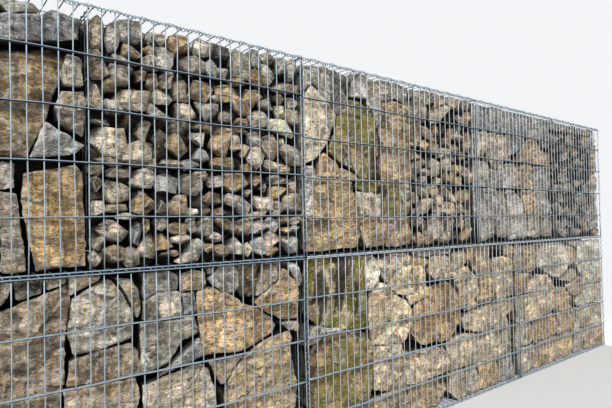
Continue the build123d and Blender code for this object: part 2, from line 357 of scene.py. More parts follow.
# Large stones of the upper course
UPPER_BLOCKS = (
    ("G", (-2.74, 1.93), (-2.50, 1.95), (-2.44, 1.86), (-2.48, 1.76), (-2.74, 1.77)),
    ("OT", (-2.47, 1.95), (-2.22, 1.93), (-2.19, 1.84), (-2.25, 1.75), (-2.45, 1.77)),
    ("TG", (-2.20, 1.94), (-2.07, 1.945), (-2.065, 1.79), (-2.17, 1.76), (-2.22, 1.80)),
    ("OT", (-2.74, 1.755), (-2.49, 1.745), (-2.42, 1.63), (-2.45, 1.52), (-2.74, 1.54)),
    ("G", (-2.45, 1.755), (-2.24, 1.735), (-2.10, 1.75), (-2.07, 1.60), (-2.12, 1.50), (-2.42, 1.51)),
    ("T", (-2.74, 1.525), (-2.47, 1.505), (-2.43, 1.40), (-2.48, 1.28), (-2.74, 1.29)),
    ("BO", (-2.43, 1.495), (-2.12, 1.485), (-2.07, 1.40), (-2.06, 1.28), (-2.41, 1.27)),
    ("PT", (-2.74, 1.275), (-2.46, 1.265), (-2.42, 1.15), (-2.46, 1.02), (-2.74, 1.02)),
    ("OT", (-2.43, 1.255), (-2.15, 1.265), (-2.06, 1.25), (-2.05, 1.12), (-2.10, 1.02), (-2.43, 1.02)),
    ("S", (-2.06, 1.90), (-1.905, 1.925), (-1.865, 1.965), (-1.775, 1.935), (-1.775, 1.87),
     (-1.90, 1.838), (-2.06, 1.812)),
    ("PG", (-2.06, 1.955), (-1.93, 1.96), (-1.91, 1.94), (-2.0, 1.915)),
    ("B^", (-2.07, 1.785), (-1.94, 1.80), (-1.84, 1.832), (-1.812, 1.80), (-1.83, 1.73),
     (-1.885, 1.57), (-1.948, 1.415), (-2.07, 1.41)),
    ("TG", (-1.825, 1.80), (-1.768, 1.80), (-1.765, 1.69), (-1.83, 1.685), (-1.845, 1.72)),
    ("TG", (-1.865, 1.60), (-1.835, 1.672), (-1.762, 1.675), (-1.758, 1.58), (-1.762, 1.51),
     (-1.85, 1.548)),
    ("W", (-1.895, 1.55), (-1.762, 1.475), (-1.80, 1.44), (-1.94, 1.418)),
    ("TG", (-2.035, 1.395), (-1.992, 1.395), (-1.988, 1.305), (-2.03, 1.30)),
    ("O^", (-1.968, 1.36), (-1.90, 1.375), (-1.79, 1.398), (-1.768, 1.36), (-1.762, 1.11),
     (-1.765, 1.03), (-1.92, 1.02), (-1.94, 1.10), (-1.962, 1.21)),
    ("BG", (-2.04, 1.295), (-1.98, 1.29), (-1.968, 1.15), (-1.955, 1.02), (-2.03, 1.02)),
    ("G", (-.72, 1.963), (-.61, 1.976), (-.59, 1.865), (-.66, 1.895), (-.715, 1.85)),
    ("GP", (-.60, 1.978), (-.55, 1.978), (-.54, 1.80), (-.60, 1.85)),
    ("C", (-.712, 1.775), (-.695, 1.83), (-.67, 1.87), (-.62, 1.85), (-.55, 1.79), (-.515, 1.74),
     (-.52, 1.69), (-.56, 1.62), (-.60, 1.56), (-.65, 1.51), (-.722, 1.465), (-.725, 1.60)),
    ("SD", (-.535, 1.98), (-.39, 1.98), (-.385, 1.88), (-.43, 1.81), (-.475, 1.75), (-.525, 1.80)),
    ("W", (-.375, 1.98), (-.275, 1.98), (-.268, 1.865), (-.36, 1.868)),
    ("PG", (-.265, 1.981), (-.20, 1.981), (-.165, 1.90), (-.152, 1.75), (-.172, 1.71), (-.21, 1.79),
     (-.255, 1.84)),
    ("TM", (-.485, 1.73), (-.44, 1.78), (-.37, 1.838), (-.30, 1.838), (-.222, 1.78), (-.195, 1.70),
     (-.175, 1.58), (-.18, 1.47), (-.20, 1.405), (-.33, 1.41), (-.39, 1.47), (-.552, 1.545),
     (-.50, 1.64)),
    ("RO", (-.625, 1.445), (-.60, 1.52), (-.58, 1.53), (-.50, 1.468), (-.487, 1.415), (-.628, 1.418)),
    ("BT", (-.475, 1.455), (-.40, 1.44), (-.36, 1.408), (-.47, 1.405)),
    ("OT", (-.685, 1.28), (-.655, 1.36), (-.63, 1.408), (-.49, 1.405), (-.395, 1.388), (-.365, 1.28),
     (-.335, 1.20), (-.335, 1.08), (-.37, 1.04), (-.72, 1.03), (-.725, 1.185), (-.69, 1.21)),
    ("GP", (-.725, 1.45), (-.66, 1.455), (-.645, 1.41), (-.68, 1.33), (-.69, 1.215), (-.725, 1.20)),
    ("GM", (-.375, 1.365), (-.345, 1.40), (-.20, 1.395), (-.19, 1.35), (-.24, 1.34), (-.33, 1.345)),
    ("PT", (-.355, 1.33), (-.26, 1.332), (-.195, 1.322), (-.19, 1.21), (-.325, 1.205)),
    ("OT", (-.325, 1.192), (-.20, 1.192), (-.145, 1.12), (-.13, 1.04), (-.29, 1.03), (-.32, 1.09)),
    ("BM", (-.165, 1.395), (-.06, 1.398), (-.03, 1.35), (.01, 1.30), (.0, 1.21), (-.175, 1.205)),
    ("TG", (-.025, 1.398), (.085, 1.40), (.09, 1.22), (.015, 1.21), (.025, 1.31)),
    ("TB", (-.18, 1.19), (-.06, 1.19), (-.05, 1.09), (-.07, 1.03), (-.12, 1.03), (-.15, 1.12)),
    ("OT", (-.045, 1.19), (.085, 1.195), (.09, 1.03), (-.06, 1.03)),
    ("BT", (-.155, 1.86), (-.05, 1.885), (.09, 1.86), (.09, 1.412), (-.15, 1.412), (-.168, 1.50),
     (-.14, 1.62)),
    ("PG", (-.165, 1.981), (-.04, 1.981), (-.035, 1.90), (-.10, 1.88), (-.16, 1.875)),
    ("G", (-.025, 1.981), (.09, 1.98), (.09, 1.875), (-.02, 1.895)),
    ("S", (.76, 1.978), (.955, 1.973), (.96, 1.83), (.90, 1.805), (.765, 1.81)),
    ("GS", (.975, 1.973), (1.20, 1.973), (1.205, 1.84), (1.14, 1.805), (.98, 1.81)),
    ("S", (1.215, 1.978), (1.51, 1.978), (1.465, 1.84), (1.40, 1.74), (1.33, 1.68), (1.25, 1.66),
     (1.218, 1.80)),
    ("GS", (1.535, 1.978), (1.84, 1.973), (1.84, 1.83), (1.74, 1.80), (1.54, 1.805)),
    ("G", (.745, 1.79), (.80, 1.785), (.795, 1.61), (.745, 1.60)),
    ("CT", (.81, 1.785), (.915, 1.79), (.92, 1.68), (.895, 1.62), (.815, 1.61)),
    ("TP", (.935, 1.79), (1.235, 1.79), (1.245, 1.62), (1.13, 1.605), (1.10, 1.545), (1.02, 1.54),
     (.965, 1.60), (.94, 1.70)),
    ("TO", (1.37, 1.615), (1.45, 1.765), (1.55, 1.795), (1.68, 1.775), (1.705, 1.72), (1.835, 1.695),
     (1.835, 1.605)),
    ("G", (1.72, 1.795), (1.835, 1.79), (1.835, 1.755), (1.73, 1.76)),
    ("PG", (.765, 1.50), (.80, 1.585), (.92, 1.585), (.955, 1.535), (.95, 1.415), (.77, 1.41)),
    ("SG", (.968, 1.525), (1.02, 1.515), (1.10, 1.53), (1.12, 1.47), (1.115, 1.41), (.965, 1.412)),
    ("PG", (1.13, 1.56), (1.20, 1.585), (1.295, 1.58), (1.33, 1.52), (1.33, 1.415), (1.13, 1.41)),
    ("OT", (1.36, 1.595), (1.59, 1.595), (1.605, 1.50), (1.595, 1.41), (1.365, 1.41), (1.35, 1.50)),
    ("GS", (1.615, 1.59), (1.835, 1.59), (1.835, 1.41), (1.61, 1.41)),
    ("GPG", (.755, 1.395), (1.04, 1.395), (1.05, 1.30), (1.055, 1.21), (1.04, 1.10), (.99, 1.045),
     (.93, 1.05), (.87, 1.03), (.83, 1.04), (.79, 1.13), (.755, 1.22)),
    ("TG", (1.065, 1.39), (1.18, 1.39), (1.195, 1.28), (1.20, 1.10), (1.16, 1.045), (1.06, 1.05),
     (1.07, 1.20)),
    ("PWG", (1.205, 1.395), (1.27, 1.39), (1.36, 1.345), (1.40, 1.30), (1.415, 1.22), (1.45, 1.18),
     (1.46, 1.06), (1.43, 1.03), (1.30, 1.035), (1.22, 1.03), (1.215, 1.15)),
    ("RO", (1.425, 1.39), (1.565, 1.395), (1.58, 1.30), (1.565, 1.215), (1.475, 1.21), (1.435, 1.26)),
    ("TP", (1.58, 1.395), (1.70, 1.395), (1.71, 1.30), (1.695, 1.21), (1.58, 1.21), (1.595, 1.30)),
    ("G", (1.715, 1.39), (1.83, 1.39), (1.835, 1.22), (1.715, 1.22)),
    ("TG", (1.475, 1.19), (1.60, 1.195), (1.70, 1.19), (1.71, 1.05), (1.60, 1.03), (1.475, 1.04)),
    ("TG", (1.725, 1.195), (1.835, 1.19), (1.835, 1.035), (1.72, 1.04)),
)

# Rubble of the upper course: X, Z, width, height, tone, and the lean in degrees where it has one
RUBBLE = (
    (-1.715, 1.915, .055, .11, "PT"), (-1.66, 1.90, .05, .10, "W"), (-1.59, 1.955, .12, .10, "GP"),
    (-1.59, 1.86, .08, .05, "B"), (-1.61, 1.822, .09, .03, "TP"), (-1.51, 1.88, .05, .04, "O"),
    (-1.505, 1.835, .07, .06, "GTP"), (-1.445, 1.86, .075, .10, "GP"), (-1.385, 1.93, .08, .10, "BO"),
    (-1.315, 1.855, .10, .08, "TG"), (-1.27, 1.94, .08, .07, "PC"), (-1.23, 1.86, .06, .08, "GP"),
    (-1.175, 1.85, .05, .05, "PC"), (-1.185, 1.945, .08, .08, "D"), (-1.08, 1.90, .10, .13, "GTP"),
    (-1.10, 1.82, .08, .03, "O"), (-.995, 1.855, .08, .08, "RO"), (-.93, 1.885, .09, .10, "GP"),
    (-.94, 1.962, .08, .05, "PC"), (-1.0, 1.95, .07, .07, "GP"), (-.86, 1.94, .06, .09, "GP"),
    (-.795, 1.93, .07, .11, "GP"), (-.82, 1.83, .15, .05, "TP"),
    (-1.71, 1.79, .07, .10, "DT"), (-1.64, 1.76, .08, .08, "TG"), (-1.67, 1.715, .05, .05, "O"),
    (-1.60, 1.785, .06, .04, "GB"), (-1.545, 1.77, .05, .06, "B"), (-1.495, 1.755, .05, .07, "B"),
    (-1.44, 1.77, .05, .09, "BG"), (-1.38, 1.735, .07, .09, "GTP"), (-1.285, 1.745, .10, .09, "TO"),
    (-1.225, 1.73, .05, .04, "GP"), (-1.16, 1.755, .10, .08, "TO"), (-1.09, 1.715, .12, .07, "OT", -38),
    (-1.72, 1.66, .06, .08, "TG"), (-1.66, 1.63, .08, .05, "GP"), (-1.575, 1.67, .14, .08, "TP"),
    (-1.455, 1.70, .08, .06, "PT"), (-1.47, 1.63, .13, .05, "PT"), (-1.25, 1.67, .10, .08, "GTP"),
    (-1.165, 1.655, .06, .05, "TG"), (-1.02, 1.76, .08, .08, "BO"), (-.94, 1.735, .08, .07, "PG"),
    (-.99, 1.66, .11, .07, "GTP"), (-1.085, 1.635, .07, .04, "O"), (-.865, 1.715, .05, .07, "C"),
    (-.795, 1.70, .09, .08, "PT"), (-.86, 1.775, .06, .05, "B"), (-.80, 1.765, .06, .05, "GP"),
    (-.86, 1.635, .13, .07, "PC"), (-1.36, 1.65, .09, .07, "TP"),
    (-1.70, 1.568, .07, .03, "GP"), (-1.67, 1.49, .14, .12, "TP"), (-1.535, 1.55, .05, .09, "TP", -25),
    (-1.56, 1.46, .12, .09, "PT"), (-1.47, 1.53, .07, .08, "BG"), (-1.50, 1.42, .05, .05, "GTP"),
    (-1.67, 1.418, .10, .03, "GB"), (-1.395, 1.51, .10, .10, "TO"), (-1.295, 1.54, .08, .06, "PC"),
    (-1.19, 1.54, .09, .12, "OT"), (-1.12, 1.54, .05, .07, "PC"), (-1.10, 1.595, .07, .04, "BO"),
    (-1.005, 1.565, .09, .06, "PG"), (-.925, 1.535, .09, .10, "TP"), (-.80, 1.51, .13, .09, "TG", -35),
    (-.86, 1.565, .05, .04, "PC"), (-1.285, 1.47, .07, .06, "GP"), (-1.335, 1.43, .08, .04, "S"),
    (-1.415, 1.425, .10, .03, "TP"), (-1.18, 1.44, .11, .06, "O"), (-1.07, 1.505, .05, .06, "OT"),
    (-1.005, 1.48, .09, .10, "TP"), (-1.06, 1.43, .05, .04, "O"), (-.925, 1.445, .09, .05, "TP"),
    (-.84, 1.435, .09, .05, "OT"),
    (-1.545, 1.36, .10, .08, "PC"), (-1.445, 1.345, .10, .08, "W"), (-1.72, 1.335, .05, .06, "DB"),
    (-1.645, 1.305, .09, .09, "TP"), (-1.545, 1.26, .09, .09, "OB"), (-1.715, 1.235, .05, .06, "GTP"),
    (-1.65, 1.24, .08, .03, "TP"), (-1.61, 1.21, .08, .03, "TP"), (-1.465, 1.245, .05, .06, "D"),
    (-1.395, 1.25, .10, .09, "OP"), (-1.34, 1.34, .11, .09, "TP"), (-1.29, 1.38, .06, .04, "TP"),
    (-1.22, 1.36, .07, .05, "GTP"), (-1.12, 1.36, .12, .08, "OT"), (-1.01, 1.375, .07, .05, "O"),
    (-.875, 1.38, .10, .04, "GTP"), (-.89, 1.32, .09, .07, "O"), (-.80, 1.355, .05, .07, "TP"),
    (-.97, 1.34, .05, .04, "D"), (-1.235, 1.285, .09, .06, "DB"), (-1.145, 1.28, .07, .05, "TP"),
    (-1.09, 1.255, .11, .07, "G", -40), (-1.05, 1.315, .05, .04, "TP"), (-.975, 1.265, .11, .07, "PC"),
    (-.885, 1.245, .08, .07, "GTP"), (-.795, 1.27, .11, .09, "TP"), (-1.325, 1.225, .05, .03, "PC"),
    (-1.20, 1.225, .06, .04, "O"), (-1.01, 1.215, .11, .03, "TP"), (-1.72, 1.385, .06, .04, "TP"),
    (-1.645, 1.375, .07, .04, "GTP"),
    (-1.66, 1.155, .11, .08, "TP"), (-1.575, 1.14, .035, .09, "S"), (-1.53, 1.165, .04, .06, "BO"),
    (-1.465, 1.175, .06, .05, "GTP"), (-1.72, 1.11, .05, .05, "TP"), (-1.72, 1.05, .05, .06, "PC"),
    (-1.66, 1.065, .08, .07, "B"), (-1.595, 1.05, .08, .07, "TG"), (-1.525, 1.085, .07, .09, "TP"),
    (-1.46, 1.10, .08, .07, "O"), (-1.405, 1.16, .08, .05, "BO"), (-1.34, 1.17, .04, .06, "GP"),
    (-1.275, 1.16, .10, .08, "TP"), (-1.185, 1.175, .07, .05, "O"), (-1.225, 1.115, .06, .04, "PC"),
    (-1.13, 1.16, .05, .06, "BG"), (-1.08, 1.15, .07, .08, "TG"), (-1.005, 1.16, .09, .06, "GTP"),
    (-.92, 1.165, .07, .07, "GP"), (-1.39, 1.11, .08, .04, "TP"), (-1.43, 1.055, .08, .03, "OT"),
    (-1.315, 1.065, .10, .08, "GP"), (-1.26, 1.07, .05, .04, "O"), (-1.195, 1.055, .09, .06, "OT"),
    (-1.125, 1.065, .07, .08, "PG"), (-1.065, 1.05, .05, .06, "C"), (-1.0, 1.065, .08, .08, "W"),
    (-.925, 1.095, .10, .07, "TP"), (-.93, 1.04, .07, .04, "O"), (-.815, 1.07, .10, .09, "GP"),
    (-.84, 1.135, .07, .03, "O"), (-.785, 1.145, .06, .03, "GP"), (-.78, 1.185, .07, .04, "TP"),
    (-1.37, 1.03, .08, .04, "TP"),
    (.18, 1.85, .14, .09, "GT"), (.24, 1.925, .08, .05, "GT"), (.36, 1.925, .06, .07, "O"),
    (.50, 1.94, .12, .06, "PTG"), (.40, 1.855, .22, .06, "GT", 22), (.70, 1.87, .07, .06, "OP"),
    (.64, 1.84, .12, .03, "T"), (.145, 1.72, .08, .12, "T"), (.25, 1.73, .12, .04, "PTG", -25),
    (.35, 1.74, .05, .04, "T"), (.505, 1.735, .06, .05, "O"), (.60, 1.725, .08, .04, "PTG"),
    (.70, 1.74, .05, .05, "T"), (.32, 1.68, .06, .03, "T"), (.46, 1.67, .08, .06, "B"),
    (.69, 1.68, .07, .06, "GT"), (.14, 1.64, .06, .03, "PT"), (.23, 1.64, .08, .05, "TO"),
    (.32, 1.63, .08, .05, "PT"), (.42, 1.61, .12, .04, "PT"), (.55, 1.64, .08, .04, "B"),
    (.14, 1.565, .06, .04, "T"), (.33, 1.51, .10, .08, "PT"), (.46, 1.545, .10, .07, "PT"),
    (.55, 1.51, .09, .04, "O"), (.64, 1.50, .09, .05, "T"), (.71, 1.47, .06, .06, "T"),
    (.15, 1.50, .07, .05, "T"), (.23, 1.475, .07, .03, "PT"), (.445, 1.455, .05, .05, "O"),
    (.50, 1.45, .05, .05, "O"), (.58, 1.43, .08, .05, "T"), (.21, 1.42, .06, .05, "GT"),
    (.36, 1.425, .07, .03, "T"), (.21, 1.36, .08, .06, "TP"), (.31, 1.36, .08, .05, "T"),
    (.42, 1.35, .08, .06, "B"), (.50, 1.325, .06, .06, "PT"), (.58, 1.33, .08, .06, "O"),
    (.66, 1.335, .05, .06, "O"), (.13, 1.31, .05, .05, "O"), (.24, 1.27, .14, .06, "PT", 25),
    (.37, 1.30, .07, .06, "T"), (.14, 1.22, .06, .05, "GT"), (.47, 1.245, .16, .06, "T"),
    (.60, 1.25, .08, .05, "TO"), (.35, 1.235, .06, .05, "GT"), (.33, 1.12, .11, .12, "PT"),
    (.46, 1.14, .08, .08, "GB"), (.61, 1.16, .06, .07, "T"), (.15, 1.165, .06, .04, "PT"),
    (.16, 1.055, .08, .06, "O"), (.245, 1.07, .07, .06, "BT"), (.43, 1.065, .10, .05, "PT"),
    (.65, 1.065, .12, .06, "O"),
    (2.322, 1.745, .06, .06, "GP"), (2.355, 1.667, .08, .05, "TG"), (2.678, 1.667, .08, .06, "PT"),
    (1.994, 1.261, .11, .07, "PT"), (2.43, 1.344, .16, .07, "PG"), (2.033, 1.344, .10, .05, "TG"),
    (2.67, 1.267, .10, .08, "TO"), (2.54, 1.244, .14, .07, "TG"), (2.189, 1.444, .14, .06, "GPG"),
    (2.056, 1.511, .10, .06, "PG"), (2.08, 1.42, .10, .05, "PG"), (1.94, 1.42, .08, .05, "PG"),
    (2.61, 1.49, .12, .05, "TG"), (2.52, 1.43, .10, .05, "GS"), (2.367, 1.478, .10, .05, "TG"),
    (2.11, 1.70, .12, .04, "PG"), (2.22, 1.845, .08, .08, "GS"), (2.544, 1.855, .10, .08, "TG"),
    (1.93, 1.833, .12, .06, "TG"), (1.933, 1.122, .06, .09, "GS"), (2.044, 1.05, .13, .05, "O"),
    (2.078, 1.133, .09, .05, "TG"), (2.21, 1.122, .13, .04, "PG"), (2.256, 1.055, .10, .05, "PT"),
    (2.356, 1.06, .08, .05, "TG"), (2.50, 1.09, .06, .08, "TO"), (2.64, 1.10, .12, .06, "TG"),
    (2.544, 1.167, .10, .05, "TG"), (2.40, 1.155, .14, .05, "PG"), (2.167, 1.233, .12, .06, "TG"),
    (2.29, 1.24, .06, .08, "B"),
)
# Where the upper course holds rubble, as spans of X
RUBBLE_SPANS = ((-1.745, -.76), (.11, .735), (1.86, 2.73))
# How much wider and taller than listed each basket's rubble is, and letters that darken its tones
RUBBLE_GROWTH = ((1.22, 1.2), (1.28, 1.65), (1.3, 1.65))
RUBBLE_SHADE = ("", "", "DD")
# Rubble of the near basket and of the far ones: how far it leans in degrees, how far back it lies
# at most, how close together it may lie, and how often its front is cut finer
RUBBLE_LEAN = (14, 26)
RUBBLE_SET_BACK = (0.014, 0.009)
RUBBLE_APART = (0.36, 0.42)
RUBBLE_CUTS = (3, 2)
# Chance rubble in the gaps: how far back it lies, its growth and sizes, and how often it is tried
GAP_SET_BACK = (0.016, 0.038)
GAP_GROWTH = 1.2
GAP_WIDTHS = (0.05, 0.12)
GAP_HEIGHTS = (0.04, 0.09)
GAP_TRIES = 2400
# The row along the top of the far baskets, the column at the wall's right end and the dim rubble
# behind the rest: their pitches and sizes
TOP_ROW_PITCH = 0.088
TOP_ROW_SIZE = (0.10, 0.085)
TOP_ROW_DROP = 0.035
CORNER_PITCH = 0.07
CORNER_SIZE = (0.10, 0.09, 0.112)
INNER_PITCH = (0.085, 0.08)
# Stones of the middle seen through the lids and through the end meshes, beside blocks and beside
# rubble: their pitch, their width across the wall and their lanes of Y
TOP_STONES = ((0.175, 0.17, (-0.075, 0.075)), (0.098, 0.115, (-0.1, 0.0, 0.1)))
TOP_STONES_MIDDLE = 1.925
END_STONES = ((0.19, 0.16, (0.0,)), (0.08, 0.11, (-0.1, 0.0, 0.1)))
END_STONES_INSET = 0.068
# The core of each course, painted near black as shade: how far it stops short of top and bottom, and how
# far it is lifted
CORES = (("lower", 0.022, 0.015), ("upper", 0.047, -0.040))

# Shader colours
GREY_BLOOM = (0.40, 0.385, 0.355, 1)
GOLD_STAIN = (0.50, 0.35, 0.155, 1)
BROWN_STAIN = (0.15, 0.105, 0.06, 1)
SOOT = (0.075, 0.070, 0.065, 1)
# Cream on the crests of the relief: partly pale grain, partly painted highlight
CREAM_GRAIN_AND_CREST_HIGHLIGHT = (0.74, 0.675, 0.56, 1)
PALE_BAND = (0.70, 0.65, 0.56, 1)
DARK_BAND = (0.16, 0.145, 0.125, 1)
# Pits: the low spots of the relief, painted near black as shade
PIT_SHADE = (0.05, 0.042, 0.034, 1)
CRACK = (0.04, 0.033, 0.026, 1)
# Pale creased edges: partly wear, partly painted highlight
WORN_EDGE_AND_HIGHLIGHT = (0.68, 0.65, 0.58, 1)
GREEN_STREAK = (0.215, 0.205, 0.018, 1)
DARK_STREAK = (0.032, 0.030, 0.018, 1)
# Painted shade, mixed in deep in the wall and on the blocks' sides
PAINTED_SHADE_COLOUR = (0.012, 0.010, 0.008, 1)
# The core's colours: near black, painted shade
CORE_DARK = (0.007, 0.006, 0.005, 1)
CORE_LIGHT = (0.022, 0.018, 0.014, 1)
GRIME = (0.10, 0.09, 0.075, 1)
# Zinc by wire: its bright patches, its dull ones and its underside, darker as painted shade
ZINC = {
    "uprights": ((0.41, 0.50, 0.57, 1), (0.29, 0.38, 0.45, 1), (0.31, 0.40, 0.47, 1)),
    "far_uprights": ((0.56, 0.60, 0.62, 1), (0.44, 0.49, 0.52, 1), (0.40, 0.46, 0.50, 1)),
    "lines": ((0.32, 0.42, 0.495, 1), (0.235, 0.325, 0.40, 1), (0.018, 0.034, 0.048, 1)),
    "spirals": ((0.46, 0.56, 0.64, 1), (0.32, 0.42, 0.50, 1), (0.12, 0.17, 0.21, 1)),
    # Wires inside the wall: galvanised zinc painted near black as painted shade
    "inner_wires_in_painted_shade": ((0.05, 0.065, 0.075, 1), (0.03, 0.04, 0.045, 1), (0.015, 0.02, 0.025, 1)),
}
ZINC_METAL = 0.35

# Stage
BACKGROUND = (0.90, 0.91, 0.93, 1)
FLOOR_SEEN = (0.74, 0.74, 0.74, 1)
FLOOR_LIT = (0.34, 0.34, 0.33, 1)
FLOOR_FADE = (2.6, 5.0)
SURROUND_LIGHT = (1.0, 0.99, 0.97, 1)
SURROUND_STRENGTH = 0.37
# Lamps: name, place, power and size; all aim at one height over the wall's middle
LAMPS = (
    ("key", (-13.5, -15.0, 16.0), 6300, 4.6),
    ("fill", (6.0, -7.5, 3.0), 150, 4.0),
    ("rear", (5.0, 8.0, 6.5), 900, 3.0),
)
LAMP_AIM = (0, 0, 0.9)

# Camera, solved from the photograph's mesh of 50 by 200 mm
CAMERA_PLACE = (-2.258, -2.158, 1.1623)
CAMERA_YAW = 38.295
CAMERA_PITCH = 1.148
CAMERA_ROLL = -1.135
FOCAL_PIXELS = 495.39
CENTRE_DROP_PIXELS = 10.79
IMAGE_WIDTH_PIXELS = 612
SENSOR_WIDTH = 36


# Mesh building
class Shape:
    """Points, faces and per-point values of one piece, collected part by part."""

    def __init__(self):
        self.points = []
        self.faces = []
        self.values = {}
        self.count = 0

    def add(self, points, faces, **values):
        """Adds points, the faces between them, and rows of values for the points."""
        self.points.append(points)
        self.faces.extend([[corner + self.count for corner in face] for face in faces])
        for name, value in values.items():
            self.values.setdefault(name, []).append(value)
        self.count += len(points)

    def piece(self, name, material, slot, replaced=(), crisp=None):
        """The finished object, riding on the wall and standing for the replaced nodes."""
        mesh = bpy.data.meshes.new(name)
        mesh.from_pydata(np.concatenate(self.points).tolist(), [], self.faces)
        mesh.shade_smooth()
        if crisp:
            mesh.set_sharp_from_angle(angle=crisp)
        mesh.materials.append(material)
        for value_name, parts in self.values.items():
            store_values(mesh, value_name, np.concatenate(parts))
        piece = bpy.data.objects.new(name, mesh)
        bpy.context.scene.collection.objects.link(piece)
        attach(piece, "root")
        if replaced:
            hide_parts(*replaced)
        return piece


def store_values(mesh, name, data):
    """Per-point values as a mesh attribute: four columns are a colour, three a vector."""
    kinds = {1: ("FLOAT", "value"), 3: ("FLOAT_VECTOR", "vector"), 4: ("FLOAT_COLOR", "color")}
    kind, field = kinds[data.shape[1]]
    attribute = mesh.attributes.new(name, kind, "POINT")
    attribute.data.foreach_set(field, data.astype(np.float32).ravel())


def unit(vectors):
    return vectors / np.linalg.norm(vectors, axis=-1, keepdims=True)


def add_tube(shape, path, radius, sides, across):
    """A closed tube along a path; across is a direction that the path never follows."""
    path = np.asarray(path, float)
    along = unit(np.gradient(path, axis=0))
    across = np.broadcast_to(np.asarray(across, float), path.shape)
    side = unit(across - np.sum(across * along, axis=1, keepdims=True) * along)
    up = np.cross(along, side)
    turn = np.linspace(0, math.tau, sides, endpoint=False)
    ring = np.cos(turn)[None, :, None] * side[:, None, :] + np.sin(turn)[None, :, None] * up[:, None, :]
    points = (path[:, None, :] + radius * ring).reshape(-1, 3)
    faces = []
    for row in range(len(path) - 1):
        start = row * sides
        for k in range(sides):
            after = (k + 1) % sides
            faces.append((start + k, start + after, start + sides + after, start + sides + k))
    last = (len(path) - 1) * sides
    faces.append(tuple(range(sides - 1, -1, -1)))
    faces.append(tuple(range(last, last + sides)))
    shape.add(points, faces)


# Noise
def lattice_noise(points):
    """Smooth noise from -1 to 1, the same for the same points each run."""
    cell = np.floor(points).astype(np.int64)
    part = points - cell
    part = part * part * (3 - 2 * part)
    total = np.zeros(len(points))
    for corner in itertools.product((0, 1), repeat=3):
        key = (cell + corner) @ np.array((73856093, 19349663, 83492791), np.int64)
        key = (key ^ (key >> 13)) * 1274126177 & 0x7FFFFFFF
        key = (key ^ (key >> 11)) * 668265263 & 0x7FFFFFFF
        value = ((key >> 8) & 0xFFFF) / 32767.5 - 1
        total += value * np.prod(np.where(corner, part, 1 - part), axis=1)
    return total


def smooth_step(values, low, high):
    """0 up to low, 1 from high on, and a smooth rise between them."""
    part = np.clip((values - low) / (high - low), 0, 1)
    return part * part * (3 - 2 * part)


# Wires
def waves(x, z, parts, base=0):
    """The sum of waves over the wall's face, each about its base."""
    return sum(reach * (base + np.sin(by_x * x + by_z * z + start)) for reach, by_x, by_z, start in parts)


def settled(points):
    """Wire points after the face mesh has given way a little to the stones behind it."""
    points = np.array(points, float)
    x, y, z = points.T
    in_course = np.abs((z / COURSE) % 1.0 - 0.5) * 2
    free = np.clip((1 - in_course) / HELD_SHARE, 0, 1)
    face = np.abs(y) > WALL_FACE - FACE_MESH_DEPTH
    within = np.clip((WALL_END - HELD_END - np.abs(x)) / HELD_REACH, 0, 1)
    sway = waves(x, z, SWAY)
    lift = waves(x, z, LIFT)
    press = waves(x, z, PRESS, 1)
    points[:, 0] += np.where(face, free * within * sway, 0)
    points[:, 1] -= np.where(face, np.sign(y) * free * press, 0)
    points[:, 2] += np.where(face, free * lift, 0)
    return points


def straight(start, end, step):
    """Points from start to end, about a step apart."""
    start = np.array(start, float)
    end = np.array(end, float)
    count = max(2, round(np.linalg.norm(end - start) / step) + 1)
    return start + np.linspace(0, 1, count)[:, None] * (end - start)


def add_wire(shape, start, end, thickness, step, sides, across):
    add_tube(shape, straight(start, end, step), thickness / 2, sides, across)


def add_face_wire(shape, start, end, thickness, step, sides, across):
    """A wire of a face mesh, settled against the stones."""
    add_tube(shape, settled(straight(start, end, step)), thickness / 2, sides, across)


def wire_places(low, high, comb=None):
    """Places of uprights: the two ends, and every pitch from low, or from where the comb has one."""
    first = low if comb is None else low + (comb - low) % UPRIGHT_PITCH
    inner = np.arange(first, high, UPRIGHT_PITCH)
    clear = 0.4 * UPRIGHT_PITCH
    return [low] + [x for x in inner if low + clear < x < high - clear] + [high]


def upright_places(start, end, level, number):
    """Where the uprights of one basket's front stand."""
    return wire_places(start + EDGE_INSET, end - EDGE_INSET, COMBS[level, number])


def face_mesh(start, end, side, level, number):
    """The front or back mesh of one basket: its uprights with the rims, and its double lines."""
    bottom = level * COURSE
    low = bottom + (RIM if level else WIRE)
    high = TOP_EDGE if level else COURSE - RIM
    uprights = Shape()
    y = side * UPRIGHT_DEPTH
    for x in upright_places(start, end, level, number):
        ends = ((x, y, low - OVERLAP), (x, y, high + OVERLAP))
        add_face_wire(uprights, *ends, UPRIGHT_WIRE, UPRIGHT_STEP, FACE_SIDES, ALONG_X)
    lines = Shape()
    outer = side * LINE_DEPTH
    rear = side * REAR_DEPTH
    for i in range(LINE_COUNT):
        z = bottom + LINE_PITCH * i + LINE_SHIFTS.get((level, number), 0)
        z = min(max(z, low), high)
        ends = ((start, outer, z), (end, outer, z))
        if z in (low, high):
            add_face_wire(uprights, *ends, WIRE, LINE_STEP, FACE_SIDES, ALONG_Z)
        else:
            add_face_wire(lines, *ends, LINE_WIRE, LINE_STEP, FACE_SIDES, ALONG_Z)
            ends = ((start, rear, z), (end, rear, z))
            add_face_wire(lines, *ends, LINE_WIRE, REAR_STEP, INNER_SIDES, ALONG_Z)
    return uprights, lines


def level_mesh(start, end, level, facing, between_courses):
    """A floor (facing -1) or lid (facing 1): cross wires and long wires."""
    wires = Shape()
    cross = level - facing * CROSS_INSET
    long = level - facing * LONG_INSET
    reach = UPRIGHT_DEPTH - (JOINT_INSET if between_courses else WIRE)
    for x in wire_places(start + EDGE_INSET, end - EDGE_INSET):
        ends = ((x, -reach, cross), (x, reach, cross))
        add_wire(wires, *ends, WIRE, CROSS_STEP, INNER_SIDES, ALONG_X)
    for y in np.linspace(-reach + RIM, reach - RIM, 4):
        add_wire(wires, (start, y, long), (end, y, long), WIRE, LONG_STEP, INNER_SIDES, ALONG_Z)
    return wires


